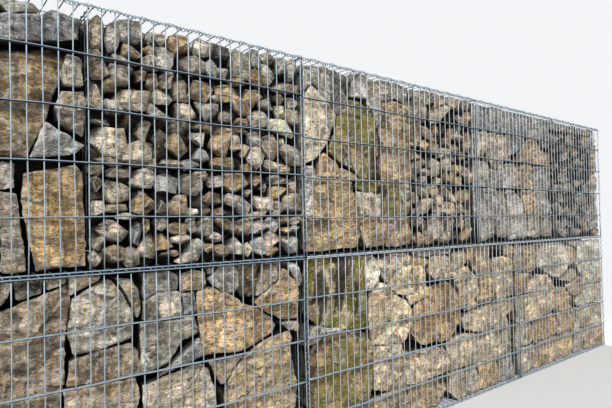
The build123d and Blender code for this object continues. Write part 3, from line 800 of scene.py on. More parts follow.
def cross_mesh(at, outward, reach, low, high):
    """An upright mesh across the wall; outward is the side that its line wires are on."""
    wires = Shape()
    middle = (low + high) / 2
    bottom = COURSE * int(middle / COURSE)
    for y in np.linspace(-reach, reach, 2 + int(2 * reach / UPRIGHT_PITCH)):
        add_wire(wires, (at, y, low), (at, y, high), WIRE, LONG_STEP, INNER_SIDES, ALONG_X)
    x = at + outward * WIRE
    for i in range(LINE_COUNT):
        z = min(max(bottom + LINE_PITCH * i, low + WIRE / 2), high - WIRE / 2)
        add_wire(wires, (x, -reach, z), (x, reach, z), WIRE, CROSS_STEP, INNER_SIDES, ALONG_Z)
    return wires


def add_spiral(shape, start, end, lead=0.0, radius=SPIRAL_RADIUS, pitch=SPIRAL_PITCH):
    """A binder wire that winds round the line from start to end, slightly unevenly."""
    start = np.array(start, float)
    end = np.array(end, float)
    length = np.linalg.norm(end - start)
    axis = (end - start) / length
    first = unit(np.cross(axis, (0.31, 0.77, 0.55)))
    second = np.cross(axis, first)
    run = np.linspace(0, length, int(length / pitch * SPIRAL_POINTS_A_TURN))
    turn = math.tau * (run / pitch + 0.07 * np.sin(11 * run + lead) + 0.05 * np.sin(37 * run)) + lead
    out = np.cos(turn)[:, None] * first + np.sin(turn)[:, None] * second
    path = start + run[:, None] * axis + radius * out
    add_tube(shape, path, SPIRAL_WIRE / 2, SPIRAL_SIDES, out)


def add_hook(shape, x, z, side):
    """A cross tie: bent round an upright wire in front, with its leg running into the wall."""
    y = UPRIGHT_DEPTH
    reach = WIRE / 2 + TIE_WIRE * 0.6
    path = []
    for turn in np.linspace(math.radians(HOOK_BEND[0]), math.radians(HOOK_BEND[1]), HOOK_POINTS):
        out = reach * math.sin(turn)
        path.append((x + reach * math.cos(turn), side * (y + out), z + HOOK_RISE * (turn - 1.8)))
    for aside, back, up in HOOK_LEG:
        path.append((x - aside, side * (y - back), z + up))
    add_tube(shape, path, TIE_WIRE / 2, INNER_SIDES, ALONG_Z)


# Stone shapes
def box_grid(across, deep):
    """The surface of a cube as a closed grid, with other counts across than deep."""
    counts = (across, deep, across)
    index = {}
    faces = []

    def corner(axis, level, u_axis, u, v_axis, v):
        key = [0, 0, 0]
        key[axis] = level
        key[u_axis] = u
        key[v_axis] = v
        return index.setdefault(tuple(key), len(index))

    for axis in range(3):
        u_axis = (axis + 1) % 3
        v_axis = (axis + 2) % 3
        for level in (0, counts[axis]):
            for u, v in itertools.product(range(counts[u_axis]), range(counts[v_axis])):
                ring = ((u, v), (u + 1, v), (u + 1, v + 1), (u, v + 1))
                face = [corner(axis, level, u_axis, a, v_axis, b) for a, b in ring]
                faces.append(face if level else face[::-1])
    points = np.array(list(index), float) / counts * 2 - 1
    return points, faces


def inside(spots, rim):
    """Which spots lie inside a closed outline."""
    x, z = spots.T[:, :, None]
    x0, z0 = rim.T[:, None, :]
    x1, z1 = np.roll(rim, -1, axis=0).T[:, None, :]
    crosses = (z0 > z) != (z1 > z)
    at = x0 + (z - z0) * (x1 - x0) / np.where(z1 == z0, 1, z1 - z0)
    return np.sum(crosses & (x < at), axis=1) % 2 == 1


def edge_distance(spots, rim):
    """How far each spot is from a closed outline."""
    way = np.roll(rim, -1, axis=0) - rim
    gap = spots[:, None] - rim[None]
    share = np.clip(np.sum(gap * way, axis=2) / np.sum(way * way, axis=1), 0, 1)
    return np.linalg.norm(gap - share[..., None] * way, axis=2).min(axis=1)


def is_clockwise(outline):
    """Whether an outline of X and Z turns clockwise, seen from the front."""
    following = np.roll(outline, -1, axis=0)
    return np.sum((following[:, 0] - outline[:, 0]) * (following[:, 1] + outline[:, 1])) > 0


def grown(outline, by):
    """A counter-clockwise outline with each edge moved outwards."""
    along = unit(np.roll(outline, -1, axis=0) - outline)
    out = np.column_stack((along[:, 1], -along[:, 0]))
    before = np.roll(out, 1, axis=0)
    share = np.maximum(1 + np.sum(out * before, axis=1, keepdims=True), 0.6)
    return outline + by * (out + before) / share


def in_rock(spots, depth, random):
    """A face's spots moved to a chance place, so that each stone has noise of its own."""
    return np.insert(spots, 1, depth, axis=1) + random.uniform(-ROCK_RANGE, ROCK_RANGE, 3)


def broken_corners(outline, random):
    """Two points for each corner of an outline, a chance length away from it on either edge."""
    corners = []
    for k, here in enumerate(outline):
        for other in (outline[k - 1], outline[(k + 1) % len(outline)]):
            reach = np.linalg.norm(other - here)
            share = min(0.3, CORNER_BREAK * random.uniform(0.3, 1.6) / reach)
            corners.append(here + (other - here) * share)
    return np.array(corners)


def rough_outline(outline, spacing, random):
    """An outline with broken corners and uneven edges, as points about a spacing apart."""
    corners = broken_corners(outline, random)
    points = []
    for start, end in zip(corners, np.roll(corners, -1, axis=0)):
        count = max(1, round(np.linalg.norm(end - start) / spacing))
        points.append(start + np.arange(count)[:, None] / count * (end - start))
    points = np.concatenate(points)
    solid = in_rock(points, 0.0, random)
    for scale, reach in OUTLINE_NOISE:
        points[:, 0] += reach * lattice_noise(solid * scale)
        points[:, 1] += reach * lattice_noise(solid * scale + OTHER_NOISE)
    points[:, 0] = np.clip(points[:, 0], -STONE_LIMIT, STONE_LIMIT)
    return points


def inner_spots(rim, spacing, random):
    """Spots spread over the inside of an outline, about a spacing apart."""
    low = rim.min(axis=0)
    high = rim.max(axis=0)
    across = np.arange(low[0], high[0], spacing)
    up = np.arange(low[1], high[1], spacing * 0.87)
    grid = [(x + spacing / 2 * (row % 2), z) for row, z in enumerate(up) for x in across]
    grid = np.array(grid).reshape(-1, 2)
    grid += random.uniform(-0.2, 0.2, grid.shape) * spacing
    return grid[inside(grid, rim) & (edge_distance(grid, rim) > spacing * 0.55)]


def ledges(solid, scale, height):
    """Small sharp steps, as where layers of the rock have broken away."""
    level = lattice_noise(solid * scale) * 2.4
    part = np.clip((level - np.floor(level) - 0.38) / 0.24, 0, 1)
    return height * (np.floor(level) + part * part * (3 - 2 * part))


def broken_flats(spots, low, high, random):
    """Flats of broken rock, each tilted its own way, with small steps between them."""
    count = 3 + int(np.prod(high - low) / FLAT_AREA)
    centres = random.uniform(low, high, (count, 2))
    tilts = random.normal(0, 0.13, (count, 2))
    offsets = random.uniform(-0.004, 0.004, count)
    solid = in_rock(spots, 0.0, random) * 22
    sway = np.column_stack((lattice_noise(solid), lattice_noise(solid + OTHER_NOISE)))
    away = (spots + 0.014 * sway)[:, None] - centres[None]
    nearest = np.argmin(np.sum(away * away, axis=2), axis=1)
    slope = np.sum((spots - centres[nearest]) * tilts[nearest], axis=1)
    return offsets[nearest] + np.clip(slope, -FLAT_LIMIT, FLAT_LIMIT)


def slopes(spots, low, high, bevelled, random):
    """How far a few chance slopes, and one along the top, cut a face back from its crown."""
    half = (high - low) / 2
    middle = low + half * random.uniform(0.8, 1.2, 2)
    starts = list(random.uniform(0.35, 0.9, SLOPE_COUNT))
    starts.append(BEVEL_START if bevelled else random.uniform(0.75, 0.97))
    tilts = list(random.uniform(5, 22, SLOPE_COUNT)) + [random.uniform(32, 44)]
    ways = list(random.uniform(0, math.tau, SLOPE_COUNT)) + [random.uniform(1.3, 1.8)]
    depth = np.zeros(len(spots))
    for start, tilt, way in zip(starts, tilts, ways):
        along = np.array((math.cos(way), math.sin(way)))
        beyond = (spots - middle) @ along - start * (np.abs(along) @ half)
        depth = np.maximum(depth, math.tan(math.radians(tilt)) * beyond)
    limit = BEVEL_LIMIT if bevelled else SLOPE_LIMIT
    return limit * np.tanh(depth / limit)


def block_relief(spots, rim, rough, bevelled, random):
    """How far a block's face lies behind its crown: slopes, flats, ledges, lumps, pits and rim."""
    low = rim.min(axis=0)
    high = rim.max(axis=0)
    depth = slopes(spots, low, high, bevelled, random)
    depth += rough * broken_flats(spots, low, high, random)
    solid = in_rock(spots, depth, random)
    depth += 0.0045 * lattice_noise(solid * 9)
    depth += rough * (ledges(solid + 5, 8, 0.0036) + ledges(solid * (1, 1, 2.2) + 3, 17, 0.0022))
    depth += rough * (0.0026 * lattice_noise(solid * 31) + 0.0016 * lattice_noise(solid * 67))
    depth += 0.010 * np.maximum(lattice_noise(solid * 23 + 11) - 0.42, 0)
    width = 0.007 + 0.005 * lattice_noise(solid * 19)
    depth += RIM_DEPTH * (1 - np.clip(edge_distance(spots, rim) / width, 0, 1)) ** 1.5
    return depth


def creases(points, faces):
    """How sharply the surface bends at each point, from 0 on a flat to 1 on an edge."""
    corners = np.array([face[:3] for face in faces])
    first, second, third = points[corners[:, 0]], points[corners[:, 1]], points[corners[:, 2]]
    normals = unit(np.cross(second - first, third - first) + 1e-12)
    total = np.zeros_like(points)
    count = np.zeros(len(points))
    for k in range(3):
        np.add.at(total, corners[:, k], normals)
        np.add.at(count, corners[:, k], 1)
    flat = np.linalg.norm(total, axis=1) / np.maximum(count, 1)
    return np.clip((1 - flat) * 9, 0, 1)


def filled_outline(rim, spacing, random):
    """Spots on and inside an outline, the faces between them, and which spots are the outline."""
    count = len(rim)
    spots = np.concatenate((rim, inner_spots(rim, spacing, random)))
    loop = [(k, (k + 1) % count) for k in range(count)]
    made = geometry.delaunay_2d_cdt([Vector(spot) for spot in spots], loop, [], 1, 1e-6)
    ring = {origin: k for k, origins in enumerate(made[3]) for origin in origins if origin < count}
    return np.array(made[0]), [list(face) for face in made[2]], [ring[k] for k in range(count)]


def side_rows(front, middle, depth):
    """The rim of a block's face carried back into the wall, each row a little narrower."""
    rows = []
    for back, shrink in SIDE_ROWS:
        row = front.copy()
        row[:, 1] = np.maximum(front[:, 1] + 0.012, depth * back + 0.03)
        row[:, [0, 2]] = middle + (row[:, [0, 2]] - middle) * (1 - shrink)
        row[:, [0, 2]] += 0.004 * lattice_noise(row * 21 + 3)[:, None]
        row[:, 0] = np.clip(row[:, 0], -STONE_LIMIT, STONE_LIMIT)
        rows.append(row)
    return rows


def side_faces(ring, total):
    """Faces from a block's rim through the side rows, whose points start at total, and its back."""
    count = len(ring)
    rows = [ring]
    for k in range(len(SIDE_ROWS)):
        rows.append(list(range(total + k * count, total + (k + 1) * count)))
    faces = []
    for near, far in zip(rows, rows[1:]):
        for k in range(count):
            after = (k + 1) % count
            faces.append([near[after], near[k], far[k], far[after]])
    return faces + [rows[-1][::-1]]


def block_form(outline, spacing, growth, rough, bevelled, random):
    """A large stone with a rough face, its sides running back, and the count of points in the face."""
    outline = np.array(outline, float)
    if is_clockwise(outline):
        outline = outline[::-1]
    rim = rough_outline(grown(outline, growth), spacing, random)
    spots, faces, ring = filled_outline(rim, spacing, random)
    relief = block_relief(spots, rim, rough, bevelled, random)
    relief -= relief.min()
    at_end = smooth_step(np.abs(spots[:, 0]), WALL_END - END_FLAT[0], WALL_END - END_FLAT[1])
    relief *= 1 - END_FLATTENING * at_end
    points = np.insert(spots, 1, relief, axis=1)
    depth = BLOCK_DEPTH * random.uniform(0.85, 1.0)
    rows = side_rows(points[ring], rim.mean(axis=0), depth)
    faces += side_faces(ring, len(points))
    return np.concatenate([points] + rows), faces, len(points)


def chance_hull(half, corners, random):
    """A convex stone of chance corners inside a box of half sizes, as an edit mesh."""
    form = bmesh.new()
    for i in range(corners):
        height = 1 - 2 * (i + 0.5) / corners
        flat = math.sqrt(1 - height * height)
        turn = i * 2.39996 + random.uniform(-0.7, 0.7)
        way = np.array((flat * math.cos(turn), height, flat * math.sin(turn)))
        way = way + random.uniform(-0.22, 0.22, 3)
        way = way / np.sum(np.abs(way) ** 3.6) ** (1 / 3.6)
        form.verts.new(way * half * random.uniform(0.86, 1.0))
    bmesh.ops.convex_hull(form, input=form.verts)
    bmesh.ops.delete(form, geom=[vert for vert in form.verts if not vert.link_faces], context="VERTS")
    bmesh.ops.recalc_face_normals(form, faces=form.faces)
    return form


def broken_form(size, corners, cuts, random):
    """A broken stone round the origin: the hull of chance corners, cut finer and roughened."""
    half = np.array(size) / 2
    form = chance_hull(half, corners, random)
    if cuts:
        bmesh.ops.subdivide_edges(form, edges=form.edges, cuts=cuts, use_grid_fill=True)
        bmesh.ops.triangulate(form, faces=form.faces)
    form.verts.index_update()
    points = np.array([tuple(vert.co) for vert in form.verts])
    faces = [[vert.index for vert in face.verts] for face in form.faces]
    form.free()
    points *= half / np.abs(points).max(axis=0)
    wear_and_highlight = creases(points, faces)
    solid = points + random.uniform(-ROCK_RANGE, ROCK_RANGE, 3)
    lump = float(half.mean())
    swell = 0.10 * lump * lattice_noise(solid * 0.8 / lump)
    swell += 0.0020 * lattice_noise(solid * 42) + 0.0011 * lattice_noise(solid * 90)
    swell -= 0.35 * lump * np.maximum(lattice_noise(solid * 0.9 / lump + 4) - 0.45, 0)
    return points + unit(points) * swell[:, None], faces, wear_and_highlight


# Stones in the wall
def mixed_tone(letters, random):
    """A stone's linear colour, with a little chance in it."""
    colour = np.mean([TONES[letter] for letter in letters if letter in TONES], axis=0) / 255
    colour = colour ** 2.2
    return colour * random.uniform(0.97, 1.10) * (1 + random.uniform(-0.03, 0.03, 3))


def stone_kind(letters, random):
    """How far a stone is streaked with moss, stained by iron, and craggy."""
    moss = min(1.0, 1.5 * letters.count("M") / len(letters))
    ochre = sum(OCHRE_SHARES.get(letter, 0) for letter in letters) / len(letters)
    craggy = random.uniform(0.95, 1.5) * (0.7 if set(letters) & set("WC") else 1)
    return moss, ochre, craggy


def painted_shade_amount(points, gloom, side_gloom):
    """How much painted shade darkens each point, by its depth in the wall and by lying on a block's side.
    """
    x, y, z = np.abs(points.T)
    inside_by = np.minimum(np.minimum(WALL_FACE - y, WALL_END - x), 2 * COURSE - z)
    covered = smooth_step(WALL_END - x, *END_LIGHT) * smooth_step(2 * COURSE - z, *TOP_LIGHT)
    return np.maximum(smooth_step(inside_by, *gloom), side_gloom * covered)[:, None]


def add_stone(shape, points, faces, wear_and_highlight, letters, side, lean, gloom, random, side_gloom=0):
    """Puts a stone made for the front into a piece, with its values, mirrored for the back."""
    if side == BACK:
        points = points * (1, -1, 1)
        faces = [face[::-1] for face in faces]
    tone = np.empty((len(points), 4))
    tone[:, :3] = mixed_tone(letters, random)
    # The alpha holds how creased each point is; the shader lightens creases, partly as wear, partly as
    # painted highlight
    tone[:, 3] = wear_and_highlight
    spin = np.array(Matrix.Rotation(math.radians(lean), 3, "Y"))
    grain = points @ spin.T + random.uniform(-9, 9, 3)
    kind = np.tile(stone_kind(letters, random), (len(points), 1))
    dim = painted_shade_amount(points, gloom, side_gloom)
    shape.add(points, faces, tone=tone, grain=grain, dim=dim, kind=kind)


def add_block(shape, letters, outline, side, spacing, random):
    """One large stone, its face just behind the wires."""
    rough = random.uniform(0.75, 1.25) if set(letters) & set("ORBT") else random.uniform(0.45, 0.9)
    far = int(outline[0][0] > FAR_START)
    made = block_form(outline, spacing, BLOCK_GROWTH[far], rough, "^" in letters, random)
    points, faces, in_face = made
    # Painted shade on the block's sides behind its face
    side_gloom = np.zeros(len(points))
    side_gloom[in_face:] = SIDE_GLOOM[far]
    wear_and_highlight = creases(points, faces)
    at_end = np.abs(points[:, 0]).max() > WALL_END - 0.05
    back = 0 if at_end else random.uniform(0, 0.010) + (0.02 if "D" in letters else 0)
    points[:, 1] += back - STONE_FACE
    lean = random.uniform(-12, 12)
    add_stone(shape, points, faces, wear_and_highlight, letters, side, lean, BLOCK_GLOOM, random, side_gloom)


def add_rubble(shape, middle, size, letters, lean, side, cuts, random, face=None):
    """One broken stone of a size (X, Y, Z), leaning by degrees; face is where its front lies."""
    corners = int(random.integers(13, 19))
    points, faces, wear_and_highlight = broken_form(size, corners, cuts, random)
    spin = np.array(Matrix.Rotation(math.radians(-lean), 3, "Y"))
    points = points @ spin.T + middle
    if face is not None:
        points[:, 1] += face - points[:, 1].min()
    points[:, 0] += min(0, STONE_LIMIT - points[:, 0].max()) + max(0, -STONE_LIMIT - points[:, 0].min())
    points[:, 2] = np.minimum(points[:, 2], TOP_LIMIT + 0.002 * lattice_noise(points * 60))
    add_stone(shape, points, faces, wear_and_highlight, letters, side, lean, RUBBLE_GLOOM, random)


def loose_spots(span, low, high, taken, letters, apart, random):
    """Free places for more rubble in and behind the gaps between the stones already there."""
    spots = []
    for _ in range(GAP_TRIES):
        width = random.uniform(*GAP_WIDTHS)
        height = random.uniform(*GAP_HEIGHTS)
        x = random.uniform(span[0] + width / 2, span[1] - width / 2)
        z = random.uniform(low + height / 2, high - height / 2)
        clash = any(
            abs(x - other[0]) < apart * (width + other[2])
            and abs(z - other[1]) < apart * (height + other[3])
            for other in itertools.chain(taken, spots)
        )
        if not clash:
            spots.append((x, z, width, height, letters[int(random.integers(len(letters)))]))
    return spots


# Shader building
def feed(tree, target, inputs):
    """Gives a node its inputs, each a value or another node's socket."""
    for name, value in inputs.items():
        if isinstance(value, bpy.types.NodeSocket):
            tree.links.new(value, target.inputs[name])
        else:
            target.inputs[name].default_value = value


def node(tree, kind, inputs=None, **settings):
    """A shader node with its settings and inputs."""
    made = tree.nodes.new(kind)
    for name, value in settings.items():
        setattr(made, name, value)
    feed(tree, made, inputs or {})
    return made


def mixed(tree, factor, first, second, blend="MIX"):
    """The colour socket of a mix of two colours."""
    inputs = {0: factor, 6: first, 7: second}
    return node(tree, "ShaderNodeMix", inputs, data_type="RGBA", blend_type=blend).outputs[2]


def shaded(tree, colour, shade):
    """A colour times a shade, which is a colour or a value."""
    return mixed(tree, 1.0, colour, shade, "MULTIPLY")


def noise(tree, where, scale, detail=4.0, rough=0.55, distortion=0.0):
    inputs = {"Vector": where, "Scale": scale, "Detail": detail, "Roughness": rough}
    inputs["Distortion"] = distortion
    return node(tree, "ShaderNodeTexNoise", inputs).outputs["Fac"]


def step(tree, value, low, high, to_low=0.0, to_high=1.0):
    """A soft step of a value from to_low to to_high."""
    inputs = {"Value": value, 1: low, 2: high, 3: to_low, 4: to_high}
    return node(tree, "ShaderNodeMapRange", inputs, interpolation_type="SMOOTHSTEP").outputs[0]


def sums(tree, operation, first, second):
    return node(tree, "ShaderNodeMath", {0: first, 1: second}, operation=operation).outputs[0]


def product(tree, first, second):
    return sums(tree, "MULTIPLY", first, second)


def weighed(tree, *parts):
    """The sum of values, each times its weight."""
    total = 0.0
    for value, weight in parts:
        total = sums(tree, "ADD", total, product(tree, value, weight))
    return total


def vector(tree, operation, first, second, output="Vector"):
    inputs = {0: first, 1: second}
    return node(tree, "ShaderNodeVectorMath", inputs, operation=operation).outputs[output]


def scaled(tree, where, x, y, z):
    """Coordinates stretched along an axis, for bedding and streaks."""
    return vector(tree, "MULTIPLY", where, (x, y, z))


def attribute(tree, name, output):
    return node(tree, "ShaderNodeAttribute", attribute_name=name).outputs[output]


def split(tree, triple):
    """The three parts of a vector."""
    return node(tree, "ShaderNodeSeparateXYZ", {0: triple}).outputs


def bumped(tree, height, strength, distance):
    """The normal of a surface with fine relief."""
    inputs = {"Strength": strength, "Distance": distance, "Height": height}
    return node(tree, "ShaderNodeBump", inputs).outputs["Normal"]


def empty_material(name):
    """A new material, its node tree and its main shader."""
    material = bpy.data.materials.new(name)
    material.use_nodes = True
    tree = material.node_tree
    return material, tree, tree.nodes["Principled BSDF"]


def warped(tree, where, scale, reach):
    """Coordinates pushed about by noise, so that cells get uneven edges."""
    inputs = {"Vector": where, "Scale": scale, "Detail": 3.0}
    swirl = node(tree, "ShaderNodeTexNoise", inputs).outputs["Color"]
    push = {0: swirl, 1: (reach, reach, reach), 2: where}
    return node(tree, "ShaderNodeVectorMath", push, operation="MULTIPLY_ADD").outputs[0]


def chips(tree, where, scale, tilt):
    """The height of broken flats, each tilted its own way, in metres, and a chance value for each."""
    cells = node(tree, "ShaderNodeTexVoronoi", {"Vector": where, "Scale": scale}).outputs
    away = vector(tree, "SUBTRACT", where, cells["Position"])
    slope = vector(tree, "SUBTRACT", cells["Color"], (0.5, 0.5, 0.5))
    height = vector(tree, "DOT_PRODUCT", away, slope, "Value")
    return product(tree, height, tilt), split(tree, cells["Color"])[0]


# Stone material, made up of layers
def bedding_cracks(tree, grain, broad):
    """Thin cracks along the bedding, here and there."""
    bedding = noise(tree, scaled(tree, grain, 5.0, 5.0, 12.0), 1.0, 3.0, 0.6, 0.6)
    middle = sums(tree, "ABSOLUTE", sums(tree, "SUBTRACT", bedding, 0.5), 0)
    return product(tree, step(tree, middle, 0.012, 0.002), step(tree, broad, 0.46, 0.56))


def rock_fields(tree):
    """What the layers share: each stone's own values, the noise of its grain, chips and cracks."""
    grain = attribute(tree, "grain", "Vector")
    moss, ochre, craggy = split(tree, attribute(tree, "kind", "Vector"))
    broad = noise(tree, grain, 6.0, 4.0, 0.6, 0.5)
    uneven = warped(tree, scaled(tree, grain, 1.0, 1.0, 1.5), 21.0, 0.05)
    large, large_chance = chips(tree, uneven, 12.0, 0.62)
    small, small_chance = chips(tree, uneven, 34.0, 0.30)
    return SimpleNamespace(
        grain=grain,
        tone=attribute(tree, "tone", "Color"),
        wear_and_highlight=attribute(tree, "tone", "Alpha"),
        moss=moss,
        ochre=ochre,
        craggy=craggy,
        unstained=sums(tree, "ADD", weighed(tree, (ochre, -0.8)), 1.0),
        broad=broad,
        mottle=noise(tree, grain, 19.0, 5.0, 0.66, 0.8),
        ridges=noise(tree, scaled(tree, grain, 44.0, 60.0, 96.0), 1.0, 4.0, 0.68, 0.9),
        grit=noise(tree, grain, 170.0, 2.0, 0.7, 0.3),
        chip_height=sums(tree, "ADD", large, small),
        # Each chip lighter or darker: partly random tone, partly painted light and shade, as its chance
        # value also sets its tilt
        chip_tone_and_painted_light=weighed(tree, (large_chance, 0.36), (small_chance, 0.12)),
        crack=bedding_cracks(tree, grain, broad),
    )


def rock_ground(tree, rock):
    """The stone's own tone in lighter and darker patches, greyer where no iron has stained it."""
    light = shaded(tree, rock.tone, (1.34, 1.33, 1.31, 1))
    dark = shaded(tree, rock.tone, (0.54, 0.52, 0.50, 1))
    patches = weighed(tree, (rock.broad, 0.6), (rock.mottle, 0.4))
    colour = mixed(tree, step(tree, patches, 0.40, 0.59), dark, light)
    grey = step(tree, noise(tree, rock.grain, 9.0, 3.0, 0.66, 0.8), 0.50, 0.62, 0.0, 0.4)
    return mixed(tree, product(tree, grey, rock.unstained), colour, GREY_BLOOM)


def rock_stains(tree, rock, colour):
    """Gold and brown iron stains, soot, and each chip lighter or darker: partly its own tone, partly
    painted light and shade that goes with its tilt.
    """
    stain = noise(tree, rock.grain, 7.4, 4.0, 0.6, 1.0)
    stain = step(tree, sums(tree, "ADD", stain, product(tree, rock.ochre, 0.17)), 0.56, 0.66)
    gold = product(tree, stain, step(tree, rock.mottle, 0.40, 0.60, 0.15, 0.72))
    colour = mixed(tree, gold, colour, GOLD_STAIN)
    brown = product(tree, stain, step(tree, rock.mottle, 0.47, 0.37, 0.0, 0.6))
    colour = mixed(tree, brown, colour, BROWN_STAIN)
    soot = step(tree, noise(tree, rock.grain, 12.0, 4.0, 0.7, 0.6), 0.58, 0.70, 0.0, 0.5)
    colour = mixed(tree, soot, colour, SOOT)
    # Each chip lighter or darker: partly tone, partly painted light and shade
    return shaded(tree, colour, step(tree, rock.chip_tone_and_painted_light, 0.02, 0.46, 0.68, 1.30))


def rock_grain(tree, rock, colour):
    """Fine grain with painted shade in its hollows and painted highlight on its crests, bedding bands,
    pits painted dark as shade, cracks, and pale edges that are partly wear, partly painted highlight.
    """
    fine = weighed(tree, (rock.ridges, 0.55), (rock.grit, 0.22), (rock.mottle, 0.23))
    # Painted shade and light over the grain: the noise that also raises the bump darkens its hollows and
    # lightens its rises
    colour = shaded(tree, colour, step(tree, fine, 0.41, 0.59, 0.66, 1.33))
    # Cream where the ridges rise: partly pale grain, partly painted highlight
    colour = mixed(tree, step(tree, rock.ridges, 0.56, 0.67, 0.0, 0.5), colour, CREAM_GRAIN_AND_CREST_HIGHLIGHT)
    bands = noise(tree, scaled(tree, rock.grain, 7.0, 7.0, 17.0), 1.0, 4.0, 0.6, 0.7)
    pale = product(tree, step(tree, bands, 0.55, 0.63, 0.0, 0.42), rock.unstained)
    colour = mixed(tree, pale, colour, PALE_BAND)
    colour = mixed(tree, step(tree, bands, 0.44, 0.37, 0.0, 0.45), colour, DARK_BAND)
    # Painted shade in the pits, the lowest spots of the ridges' relief
    colour = mixed(tree, step(tree, rock.ridges, 0.425, 0.34, 0.0, 0.85), colour, PIT_SHADE)
    colour = mixed(tree, product(tree, rock.crack, 0.8), colour, CRACK)
    # Pale creased edges: partly wear, partly painted highlight
    edges = product(tree, rock.wear_and_highlight, step(tree, rock.broad, 0.35, 0.6, 0.15, 0.55))
    return mixed(tree, edges, colour, WORN_EDGE_AND_HIGHLIGHT)


def rock_moss(tree, rock, colour):
    """Green and dark streaks that run down the mossy stones."""
    streaks = noise(tree, scaled(tree, rock.grain, 11.0, 11.0, 2.0), 1.0, 3.0, 0.6, 0.5)
    green = product(tree, rock.moss, step(tree, streaks, 0.50, 0.54, 0.0, 0.9))
    colour = mixed(tree, green, colour, GREEN_STREAK)
    murk = product(tree, rock.moss, step(tree, streaks, 0.48, 0.43, 0.0, 0.9))
    return mixed(tree, murk, colour, DARK_STREAK)


def rock_height(tree, rock):
    """The fine relief of the stone's surface, in metres."""
    rough = weighed(tree, (rock.mottle, 0.015), (rock.ridges, 0.0085), (rock.grit, 0.0030))
    rough = sums(tree, "SUBTRACT", rough, product(tree, rock.crack, 0.004))
    return product(tree, sums(tree, "ADD", rock.chip_height, rough), rock.craggy)


def stone_material():
    """Quarry stone: chipped, bedded, iron-stained, pitted and mossy, with painted shade and highlight
    over its relief and edges, and painted shade in the gaps.
    """
    material, tree, shader = empty_material("quarry_stone")
    rock = rock_fields(tree)
    colour = rock_ground(tree, rock)
    for layer in (rock_stains, rock_grain, rock_moss):
        colour = layer(tree, rock, colour)
    # Painted shade: darker deep in the wall and on the blocks' sides
    dim = product(tree, attribute(tree, "dim", "Fac"), 0.95)
    feed(tree, shader, {
        "Base Color": mixed(tree, dim, colour, PAINTED_SHADE_COLOUR),
        "Roughness": step(tree, rock.ridges, 0.3, 0.7, 0.95, 0.8),
        "Specular IOR Level": 0.2,
        "Normal": bumped(tree, rock_height(tree, rock), 1.0, 1.0),
    })
    return material


# Other materials
def core_material():
    """Rubble deep inside the baskets, where little light comes, painted near black as painted shade."""
    material, tree, shader = empty_material("inner_rubble_in_painted_shade")
    where = node(tree, "ShaderNodeNewGeometry").outputs["Position"]
    broad = noise(tree, where, 22.0, 6.0, 0.7)
    feed(tree, shader, {
        "Base Color": mixed(tree, step(tree, broad, 0.35, 0.7), CORE_DARK, CORE_LIGHT),
        "Roughness": 0.95,
        "Normal": bumped(tree, broad, 0.8, 0.02),
    })
    return material


def zinc_material(name, bright, dull, painted_under_shade):
    """Galvanised wire: zinc bloom in patches, duller where it has weathered, and painted shade
    underneath.
    """
    material, tree, shader = empty_material(name)
    surface = node(tree, "ShaderNodeNewGeometry").outputs
    where = surface["Position"]
    patches = noise(tree, where, 24.0, 5.0, 0.65)
    bloom = noise(tree, where, 260.0, 3.0, 0.7)
    colour = mixed(tree, step(tree, patches, 0.35, 0.65), dull, bright)
    pale = tuple(min(1.0, channel * 1.4) for channel in bright[:3]) + (1,)
    colour = mixed(tree, step(tree, bloom, 0.55, 0.8, 0.0, 0.5), colour, pale)
    grime = step(tree, noise(tree, where, 55.0, 4.0, 0.7), 0.64, 0.78, 0.0, 0.5)
    colour = mixed(tree, grime, colour, GRIME)
    # Painted shade: faces that point downwards take the darker underside colour
    painted_shade_below = step(tree, split(tree, surface["Normal"])[2], 0.12, -0.35)
    feed(tree, shader, {
        "Base Color": mixed(tree, painted_shade_below, colour, painted_under_shade),
        "Roughness": step(tree, bloom, 0.3, 0.7, 0.38, 0.6),
        "Metallic": ZINC_METAL,
        "Normal": bumped(tree, bloom, 0.25, 0.0006),
    })
    return material


stone = stone_material()
core = core_material()
zinc = {name: zinc_material(f"galvanised_{name}", *colours) for name, colours in ZINC.items()}


# Wire pieces
def basket(level, number):
    return f"{COURSE_NAMES[level]}_{number}"


def make_face_meshes():
    """The front and back mesh of each basket, uprights and line wires apart."""
    for level, number, side in itertools.product((0, 1), BASKETS, (FRONT, BACK)):
        name = f"{basket(level, number)}_{SIDE_NAMES[side]}"
        panel = f"{name}_panel"
        low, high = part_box(panel)
        start = low.x + (END_INSET if number == BASKETS[0] else 0)
        end = high.x - (END_INSET if number == BASKETS[-1] else 0)
        uprights, lines = face_mesh(start, end, side, level, number)
        upright_zinc = zinc["uprights" if number == BASKETS[0] else "far_uprights"]
        uprights.piece(f"{name}_uprights", upright_zinc, "galvanised_wire", [panel])
        lines.piece(f"{name}_line_wires", zinc["lines"], "galvanised_wire", [panel])


def make_level_meshes():
    """The floor and lid of each basket."""
    for level, number in itertools.product((0, 1), BASKETS):
        for name, facing in (("floor_panel", -1), ("lid", 1)):
            panel = f"{basket(level, number)}_{name}"
            low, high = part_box(panel)
            at = low.z if facing < 0 else high.z
            between_courses = (level == 0) == (facing > 0)
            wires = level_mesh(low.x + END_INSET, high.x - END_INSET, at, facing, between_courses)
            # Meshes between the courses take the near-black zinc, which is painted shade
            shown = zinc["inner_wires_in_painted_shade" if between_courses else "spirals"]
            wires.piece(f"{panel}_mesh", shown, "galvanised_wire", [panel])


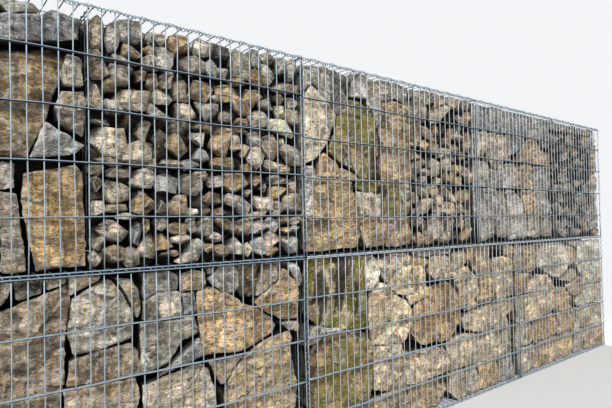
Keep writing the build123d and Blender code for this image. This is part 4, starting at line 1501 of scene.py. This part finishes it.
def make_cross_meshes():
    """The end meshes, the partitions between baskets and the diaphragms in the upper ones."""
    panels = []
    for course in COURSE_NAMES:
        panels.append((f"{course}_left_end", -1, "uprights"))
        panels.append((f"{course}_right_end", 1, "uprights"))
        panels += [(f"{course}_partition_{i}", 1, "inner_wires_in_painted_shade") for i in BASKETS[:-1]]
    panels += [(f"upper_{i}_diaphragm", 1, "inner_wires_in_painted_shade") for i in BASKETS]
    for name, outward, kind in panels:
        low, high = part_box(name)
        at = (low.x + high.x) / 2 - outward * WIRE / 2
        if name.endswith("end"):
            at -= outward * END_INSET / 2
        wires = cross_mesh(at, outward, high.y - WIRE, low.z + WIRE, high.z - WIRE)
        wires.piece(f"{name}_mesh", zinc[kind], "galvanised_wire", [name])


def binder_stops(level):
    """Where binders stop along a course: its ends and the joints between its baskets."""
    joints = [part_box(f"{basket(level, i)}_front_panel")[1].x + HALF_JOINT for i in BASKETS[:-1]]
    return [-SPIRAL_END] + joints + [SPIRAL_END]


def level_binders(name, side, level, z):
    """The binders along one height of a side, from joint to joint."""
    binders = Shape()
    stops = binder_stops(level)
    y = side * SPIRAL_DEPTH
    for k, (start, end) in enumerate(zip(stops, stops[1:])):
        ends = ((start + BINDER_GAP, y, z), (end - BINDER_GAP, y, z))
        if name == "top":
            lacing_pitch = LACING_PITCH * (1 if side == FRONT else 2)
            add_spiral(binders, *ends, 1.3 * k, LACING_RADIUS, lacing_pitch)
            add_spiral(binders, *ends, 0.7 + k, CURL_RADIUS, CURL_PITCH)
        else:
            add_spiral(binders, *ends, 1.3 * k)
    return binders


def upright_binders(side):
    """The binders up the joints between the baskets of both courses, and up the ends."""
    binders = Shape()
    y = side * SPIRAL_DEPTH
    for level in (0, 1):
        low = level * COURSE + UPRIGHT_BINDER_MARGIN
        high = (level + 1) * COURSE - UPRIGHT_BINDER_MARGIN
        for x in binder_stops(level):
            add_spiral(binders, (x, y, low), (x, y, high), x, UPRIGHT_SPIRAL_RADIUS)
    return binders


def make_spirals():
    """Binder wires along the course joint, the lid and floor edges, and up the basket joints."""
    for side, label in SIDE_NAMES.items():
        for name, level, z in (("base", 0, BASE_EDGE), ("middle", 1, COURSE), ("top", 1, TOP_EDGE)):
            binders = level_binders(name, side, level, z)
            binders.piece(f"{label}_{name}_spirals", zinc["spirals"], "galvanised_wire")
        binders = upright_binders(side)
        binders.piece(f"{label}_upright_spirals", zinc["spirals"], "galvanised_wire")
    binders = Shape()
    reach = WALL_FACE - END_BINDER_MARGIN
    for x, z in itertools.product((-SPIRAL_END, SPIRAL_END), (BASE_EDGE, COURSE, TOP_EDGE)):
        add_spiral(binders, (x, -reach, z), (x, reach, z), z)
    binders.piece("end_spirals", zinc["spirals"], "galvanised_wire")


def tie_places():
    """X and Z of the cross ties, each at the upright that is nearest."""
    spots = list(READ_TIES)
    for x in np.arange(*TIE_RANGE, TIE_PITCH):
        spots += [(x + ahead, z) for ahead, z in TIE_PATTERN]
    uprights = ([], [])
    for level, number in itertools.product((0, 1), BASKETS):
        low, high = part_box(f"{basket(level, number)}_front_panel")
        uprights[level].extend(upright_places(low.x, high.x, level, number))
    places = [(min(uprights[int(z > COURSE)], key=lambda at: abs(at - x)), z) for x, z in spots]
    return [(x, z) for x, z in places if abs(x) < WALL_END - TIE_MARGIN]


def make_ties():
    """Hooked cross ties on the front and back wires."""
    for side, label in SIDE_NAMES.items():
        ties = Shape()
        for x, z in tie_places():
            add_hook(ties, x, z, side)
        ties.piece(f"{label}_tie_hooks", zinc["uprights"], "galvanised_wire")


# Stone pieces
def middle_x(outline):
    """The mean X of an outline's corners."""
    return sum(point[0] for point in outline) / len(outline)


def block_spacing(outline, side):
    """The mesh of a block's face is finest where the front is seen from near."""
    if side == BACK:
        return BACK_SPACING
    return NEAR_SPACING + SPACING_GROWTH * max(0, abs(middle_x(outline) - NEAREST_X) - NEAR_REACH)


def make_blocks():
    """The large stones of each basket, the back mirrored from the front."""
    for level, number in itertools.product((0, 1), BASKETS):
        name = basket(level, number)
        low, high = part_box(f"{name}_block_fill")
        blocks = Shape()
        for side in (FRONT, BACK):
            for k, (letters, *outline) in enumerate((LOWER_BLOCKS, UPPER_BLOCKS)[level]):
                if low.x - CELL_MARGIN <= middle_x(outline) <= high.x + CELL_MARGIN:
                    random = np.random.default_rng(1000 * number + 10 * k + 5000 * level + side)
                    add_block(blocks, letters, outline, side, block_spacing(outline, side), random)
        blocks.piece(f"{name}_block_stones", stone, "stone", [f"{name}_block_fill"], CRISP)


def listed_rubble(number, random):
    """The rubble read from the photograph in one basket, and stones along its top."""
    span = RUBBLE_SPANS[number - 1]
    wider, taller = RUBBLE_GROWTH[number - 1]
    listed = []
    for x, z, width, height, *rest in RUBBLE:
        if span[0] - 0.01 < x < span[1] + 0.01:
            listed.append((x, z, width * wider, height * taller, *rest))
    if number == BASKETS[0]:
        heights = (RUBBLE_HIGH - 0.09, RUBBLE_HIGH)
        tones = ("G", "PG", "T", "GT", "P")
        return listed + loose_spots(span, *heights, listed, tones, RUBBLE_APART[1], random)
    for x in np.arange(span[0] + 0.045, span[1] - 0.03, TOP_ROW_PITCH):
        letters = ("TG", "GT", "TO", "PG")[int(random.integers(4))]
        z = TOP_LIMIT - TOP_ROW_DROP + random.uniform(-0.006, 0.006)
        listed.append((x, z, *TOP_ROW_SIZE, letters, 0))
    return listed


def add_face_rubble(shape, stones, set_back, growth, number, side, cuts, random):
    """Rubble whose fronts lie just behind the wires; set_back is the least and the most."""
    widest_lean = RUBBLE_LEAN[int(number > 1)]
    for x, z, width, height, letters, *lean in stones:
        lean = lean[0] if lean else random.uniform(-1, 1) * widest_lean
        depth = max(0.05, min(0.1, RUBBLE_DEPTH * random.uniform(0.8, 1.2)))
        face = random.uniform(*set_back) - STONE_FACE
        size = (width * growth, depth, height * growth)
        letters += RUBBLE_SHADE[number - 1]
        middle = np.array((x, RUBBLE_MIDDLE, z))
        add_rubble(shape, middle, size, letters, lean, side, cuts, random, face)


def add_corner_rubble(shape, side, cuts, random):
    """A column of rubble at the wall's right end."""
    for z in np.arange(RUBBLE_LOW + 0.04, RUBBLE_HIGH - 0.03, CORNER_PITCH):
        size = np.array(CORNER_SIZE) * random.uniform(0.9, 1.1, 3)
        middle = np.array((STONE_LIMIT, RUBBLE_MIDDLE, z))
        add_rubble(shape, middle, size, "TG", 0, side, cuts, random, -STONE_FACE)


def add_inner_rubble(shape, span, side, random):
    """Dim stones behind the rubble that shows."""
    for x in np.arange(span[0] + 0.04, span[1], INNER_PITCH[0]):
        for z in np.arange(COURSE + 0.05, RUBBLE_HIGH, INNER_PITCH[1]):
            middle = np.array((x, INNER_RUBBLE_MIDDLE, z)) + random.uniform(-0.014, 0.014, 3)
            size = random.uniform(0.085, 0.12, 3)
            add_rubble(shape, middle, size, "GB", random.uniform(-30, 30), side, 0, random)


def make_rubble():
    """The rubble of each upper basket: read stones, chance ones in the gaps, and a dim row behind."""
    gap_tones = ("TB", "GT", "BO", "TO", "G", "TG", "OT")
    heights = (RUBBLE_LOW, RUBBLE_HIGH)
    for number, span in zip(BASKETS, RUBBLE_SPANS):
        rubble = Shape()
        far = int(number > 1)
        random = np.random.default_rng(70 + number)
        listed = listed_rubble(number, random)
        loose = loose_spots(span, *heights, listed, gap_tones, RUBBLE_APART[far], random)
        for side in (FRONT, BACK):
            cuts = 1 if side == BACK else RUBBLE_CUTS[far]
            set_back = (0.0, RUBBLE_SET_BACK[far])
            add_face_rubble(rubble, listed, set_back, 1.0, number, side, cuts, random)
            add_face_rubble(rubble, loose, GAP_SET_BACK, GAP_GROWTH, number, side, cuts, random)
            if number == BASKETS[-1]:
                add_corner_rubble(rubble, side, cuts, random)
            add_inner_rubble(rubble, span, side, random)
        node_name = f"upper_{number}_rubble_fill"
        rubble.piece(f"upper_{number}_rubble_stones", stone, "stone", [node_name], CRISP)


def make_top_stones():
    """Stones between the front and back rows that show through the lids."""
    stones = Shape()
    random = np.random.default_rng(41)
    letters = ("T", "G", "P", "O", "TG", "PT", "GB")
    x = -STONE_LIMIT + 0.06
    while x < STONE_LIMIT - 0.03:
        loose = any(low < x < high for low, high in RUBBLE_SPANS)
        pitch, wide, lanes = TOP_STONES[int(loose)]
        for y in lanes:
            size = np.array((pitch * 1.08, wide, 0.1)) * random.uniform(0.88, 1.1, 3)
            middle = np.array((x, y, TOP_STONES_MIDDLE)) + random.uniform(-0.012, 0.012, 3)
            tone = letters[int(random.integers(len(letters)))]
            add_rubble(stones, middle, size, tone, random.uniform(-8, 8), FRONT, 2, random)
        x += pitch
    stones.piece("top_stones", stone, "stone", crisp=CRISP)


def make_end_stones():
    """Stones of the middle row that show through the end meshes."""
    stones = Shape()
    random = np.random.default_rng(43)
    letters = ("T", "G", "P", "O", "TG", "PT")
    for way, level in itertools.product((-1, 1), (0, 1)):
        loose = level == 1 and way == 1
        pitch, wide, lanes = END_STONES[int(loose)]
        low = level * COURSE + 0.06 + pitch / 4
        high = (level + 1) * COURSE - 0.05
        for y, z in itertools.product(lanes, np.arange(low, high, pitch)):
            size = np.array((0.13, wide, pitch * 1.1)) * random.uniform(0.9, 1.06, 3)
            middle = np.array((way * (STONE_LIMIT - END_STONES_INSET), y, z))
            middle = middle + random.uniform(-0.008, 0.008, 3)
            tone = letters[int(random.integers(len(letters)))]
            add_rubble(stones, middle, size, tone, 0.0, FRONT, 2, random)
    stones.piece("end_stones", stone, "stone", crisp=CRISP)


def make_core():
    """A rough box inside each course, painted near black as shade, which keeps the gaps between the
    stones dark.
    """
    cube, faces = box_grid(40, 8)
    for level, (name, margin, lift) in enumerate(CORES):
        half = np.array((WALL_END - 0.06, 0.085, COURSE / 2 - margin))
        points = np.array((0, 0, (level + 0.5) * COURSE + lift)) + cube * half
        points += 0.010 * lattice_noise(points * 19)[:, None] * unit(cube)
        packed = Shape()
        packed.add(points, faces)
        packed.piece(f"{name}_inner_rubble_in_painted_shade", core, "stone")


# Stage
def seen_directly(tree):
    """1 for rays that show a surface in the picture, 0 for rays that only carry its light."""
    path = node(tree, "ShaderNodeLightPath").outputs
    seen = sums(tree, "MAXIMUM", path["Is Camera Ray"], path["Is Glossy Ray"])
    return sums(tree, "MAXIMUM", seen, path["Is Transmission Ray"])


def floor_material():
    """A pale floor that keeps the shadow near the wall, fades out away from it and lights little."""
    material, tree, shader = empty_material("studio_floor")
    seen = seen_directly(tree)
    feed(tree, shader, {"Base Color": mixed(tree, seen, FLOOR_LIT, FLOOR_SEEN), "Roughness": 0.9})
    where = node(tree, "ShaderNodeNewGeometry").outputs["Position"]
    away = node(tree, "ShaderNodeVectorMath", {0: where}, operation="LENGTH").outputs["Value"]
    fade = product(tree, seen, step(tree, away, *FLOOR_FADE))
    pale = node(tree, "ShaderNodeEmission", {"Color": BACKGROUND, "Strength": 1.0})
    both = node(tree, "ShaderNodeMixShader", {0: fade, 1: shader.outputs[0], 2: pale.outputs[0]})
    tree.links.new(both.outputs[0], tree.nodes["Material Output"].inputs["Surface"])
    return material


def make_floor():
    bpy.ops.mesh.primitive_plane_add(size=60)
    floor = bpy.context.object
    floor.name = "floor"
    floor.data.materials.append(floor_material())


def make_surround():
    """A pale surround that lights the wall softly."""
    world = bpy.data.worlds.new("studio")
    bpy.context.scene.world = world
    world.use_nodes = True
    tree = world.node_tree
    tree.nodes.clear()
    light = node(tree, "ShaderNodeBackground", {"Color": SURROUND_LIGHT, "Strength": SURROUND_STRENGTH})
    pale = node(tree, "ShaderNodeBackground", {"Color": BACKGROUND, "Strength": 1.0})
    inputs = {0: seen_directly(tree), 1: light.outputs[0], 2: pale.outputs[0]}
    both = node(tree, "ShaderNodeMixShader", inputs)
    node(tree, "ShaderNodeOutputWorld", {"Surface": both.outputs[0]})


def make_lamps():
    for name, spot, energy, size in LAMPS:
        lamp = bpy.data.lights.new(name, "AREA")
        lamp.energy = energy
        lamp.size = size
        holder = bpy.data.objects.new(name, lamp)
        holder.location = spot
        aim = Vector(LAMP_AIM) - Vector(spot)
        holder.rotation_euler = aim.to_track_quat("-Z", "Y").to_euler()
        bpy.context.scene.collection.objects.link(holder)


def make_camera():
    """A camera where the photograph was taken from."""
    yaw = math.radians(CAMERA_YAW)
    pitch = math.radians(CAMERA_PITCH)
    roll = math.radians(CAMERA_ROLL)
    across = (math.sin(yaw) * math.cos(pitch), math.cos(yaw) * math.cos(pitch))
    ahead = Vector((*across, math.sin(pitch)))
    level = Vector((math.cos(yaw), -math.sin(yaw), 0))
    above = level.cross(ahead)
    right = level * math.cos(roll) + above * math.sin(roll)
    up = above * math.cos(roll) - level * math.sin(roll)
    data = bpy.data.cameras.new("camera")
    data.sensor_width = SENSOR_WIDTH
    data.lens = FOCAL_PIXELS * data.sensor_width / IMAGE_WIDTH_PIXELS
    data.shift_y = CENTRE_DROP_PIXELS / IMAGE_WIDTH_PIXELS
    camera = bpy.data.objects.new("camera", data)
    turn = Matrix((right, up, -ahead)).transposed()
    camera.matrix_world = Matrix.Translation(CAMERA_PLACE) @ turn.to_4x4()
    bpy.context.scene.collection.objects.link(camera)
    bpy.context.scene.camera = camera


make_camera()
make_floor()
make_surround()
make_lamps()
make_face_meshes()
make_level_meshes()
make_cross_meshes()
make_spirals()
make_ties()
make_blocks()
make_rubble()
make_top_stones()
make_end_stones()
make_core()
bpy.context.scene.view_settings.view_transform = "Standard"
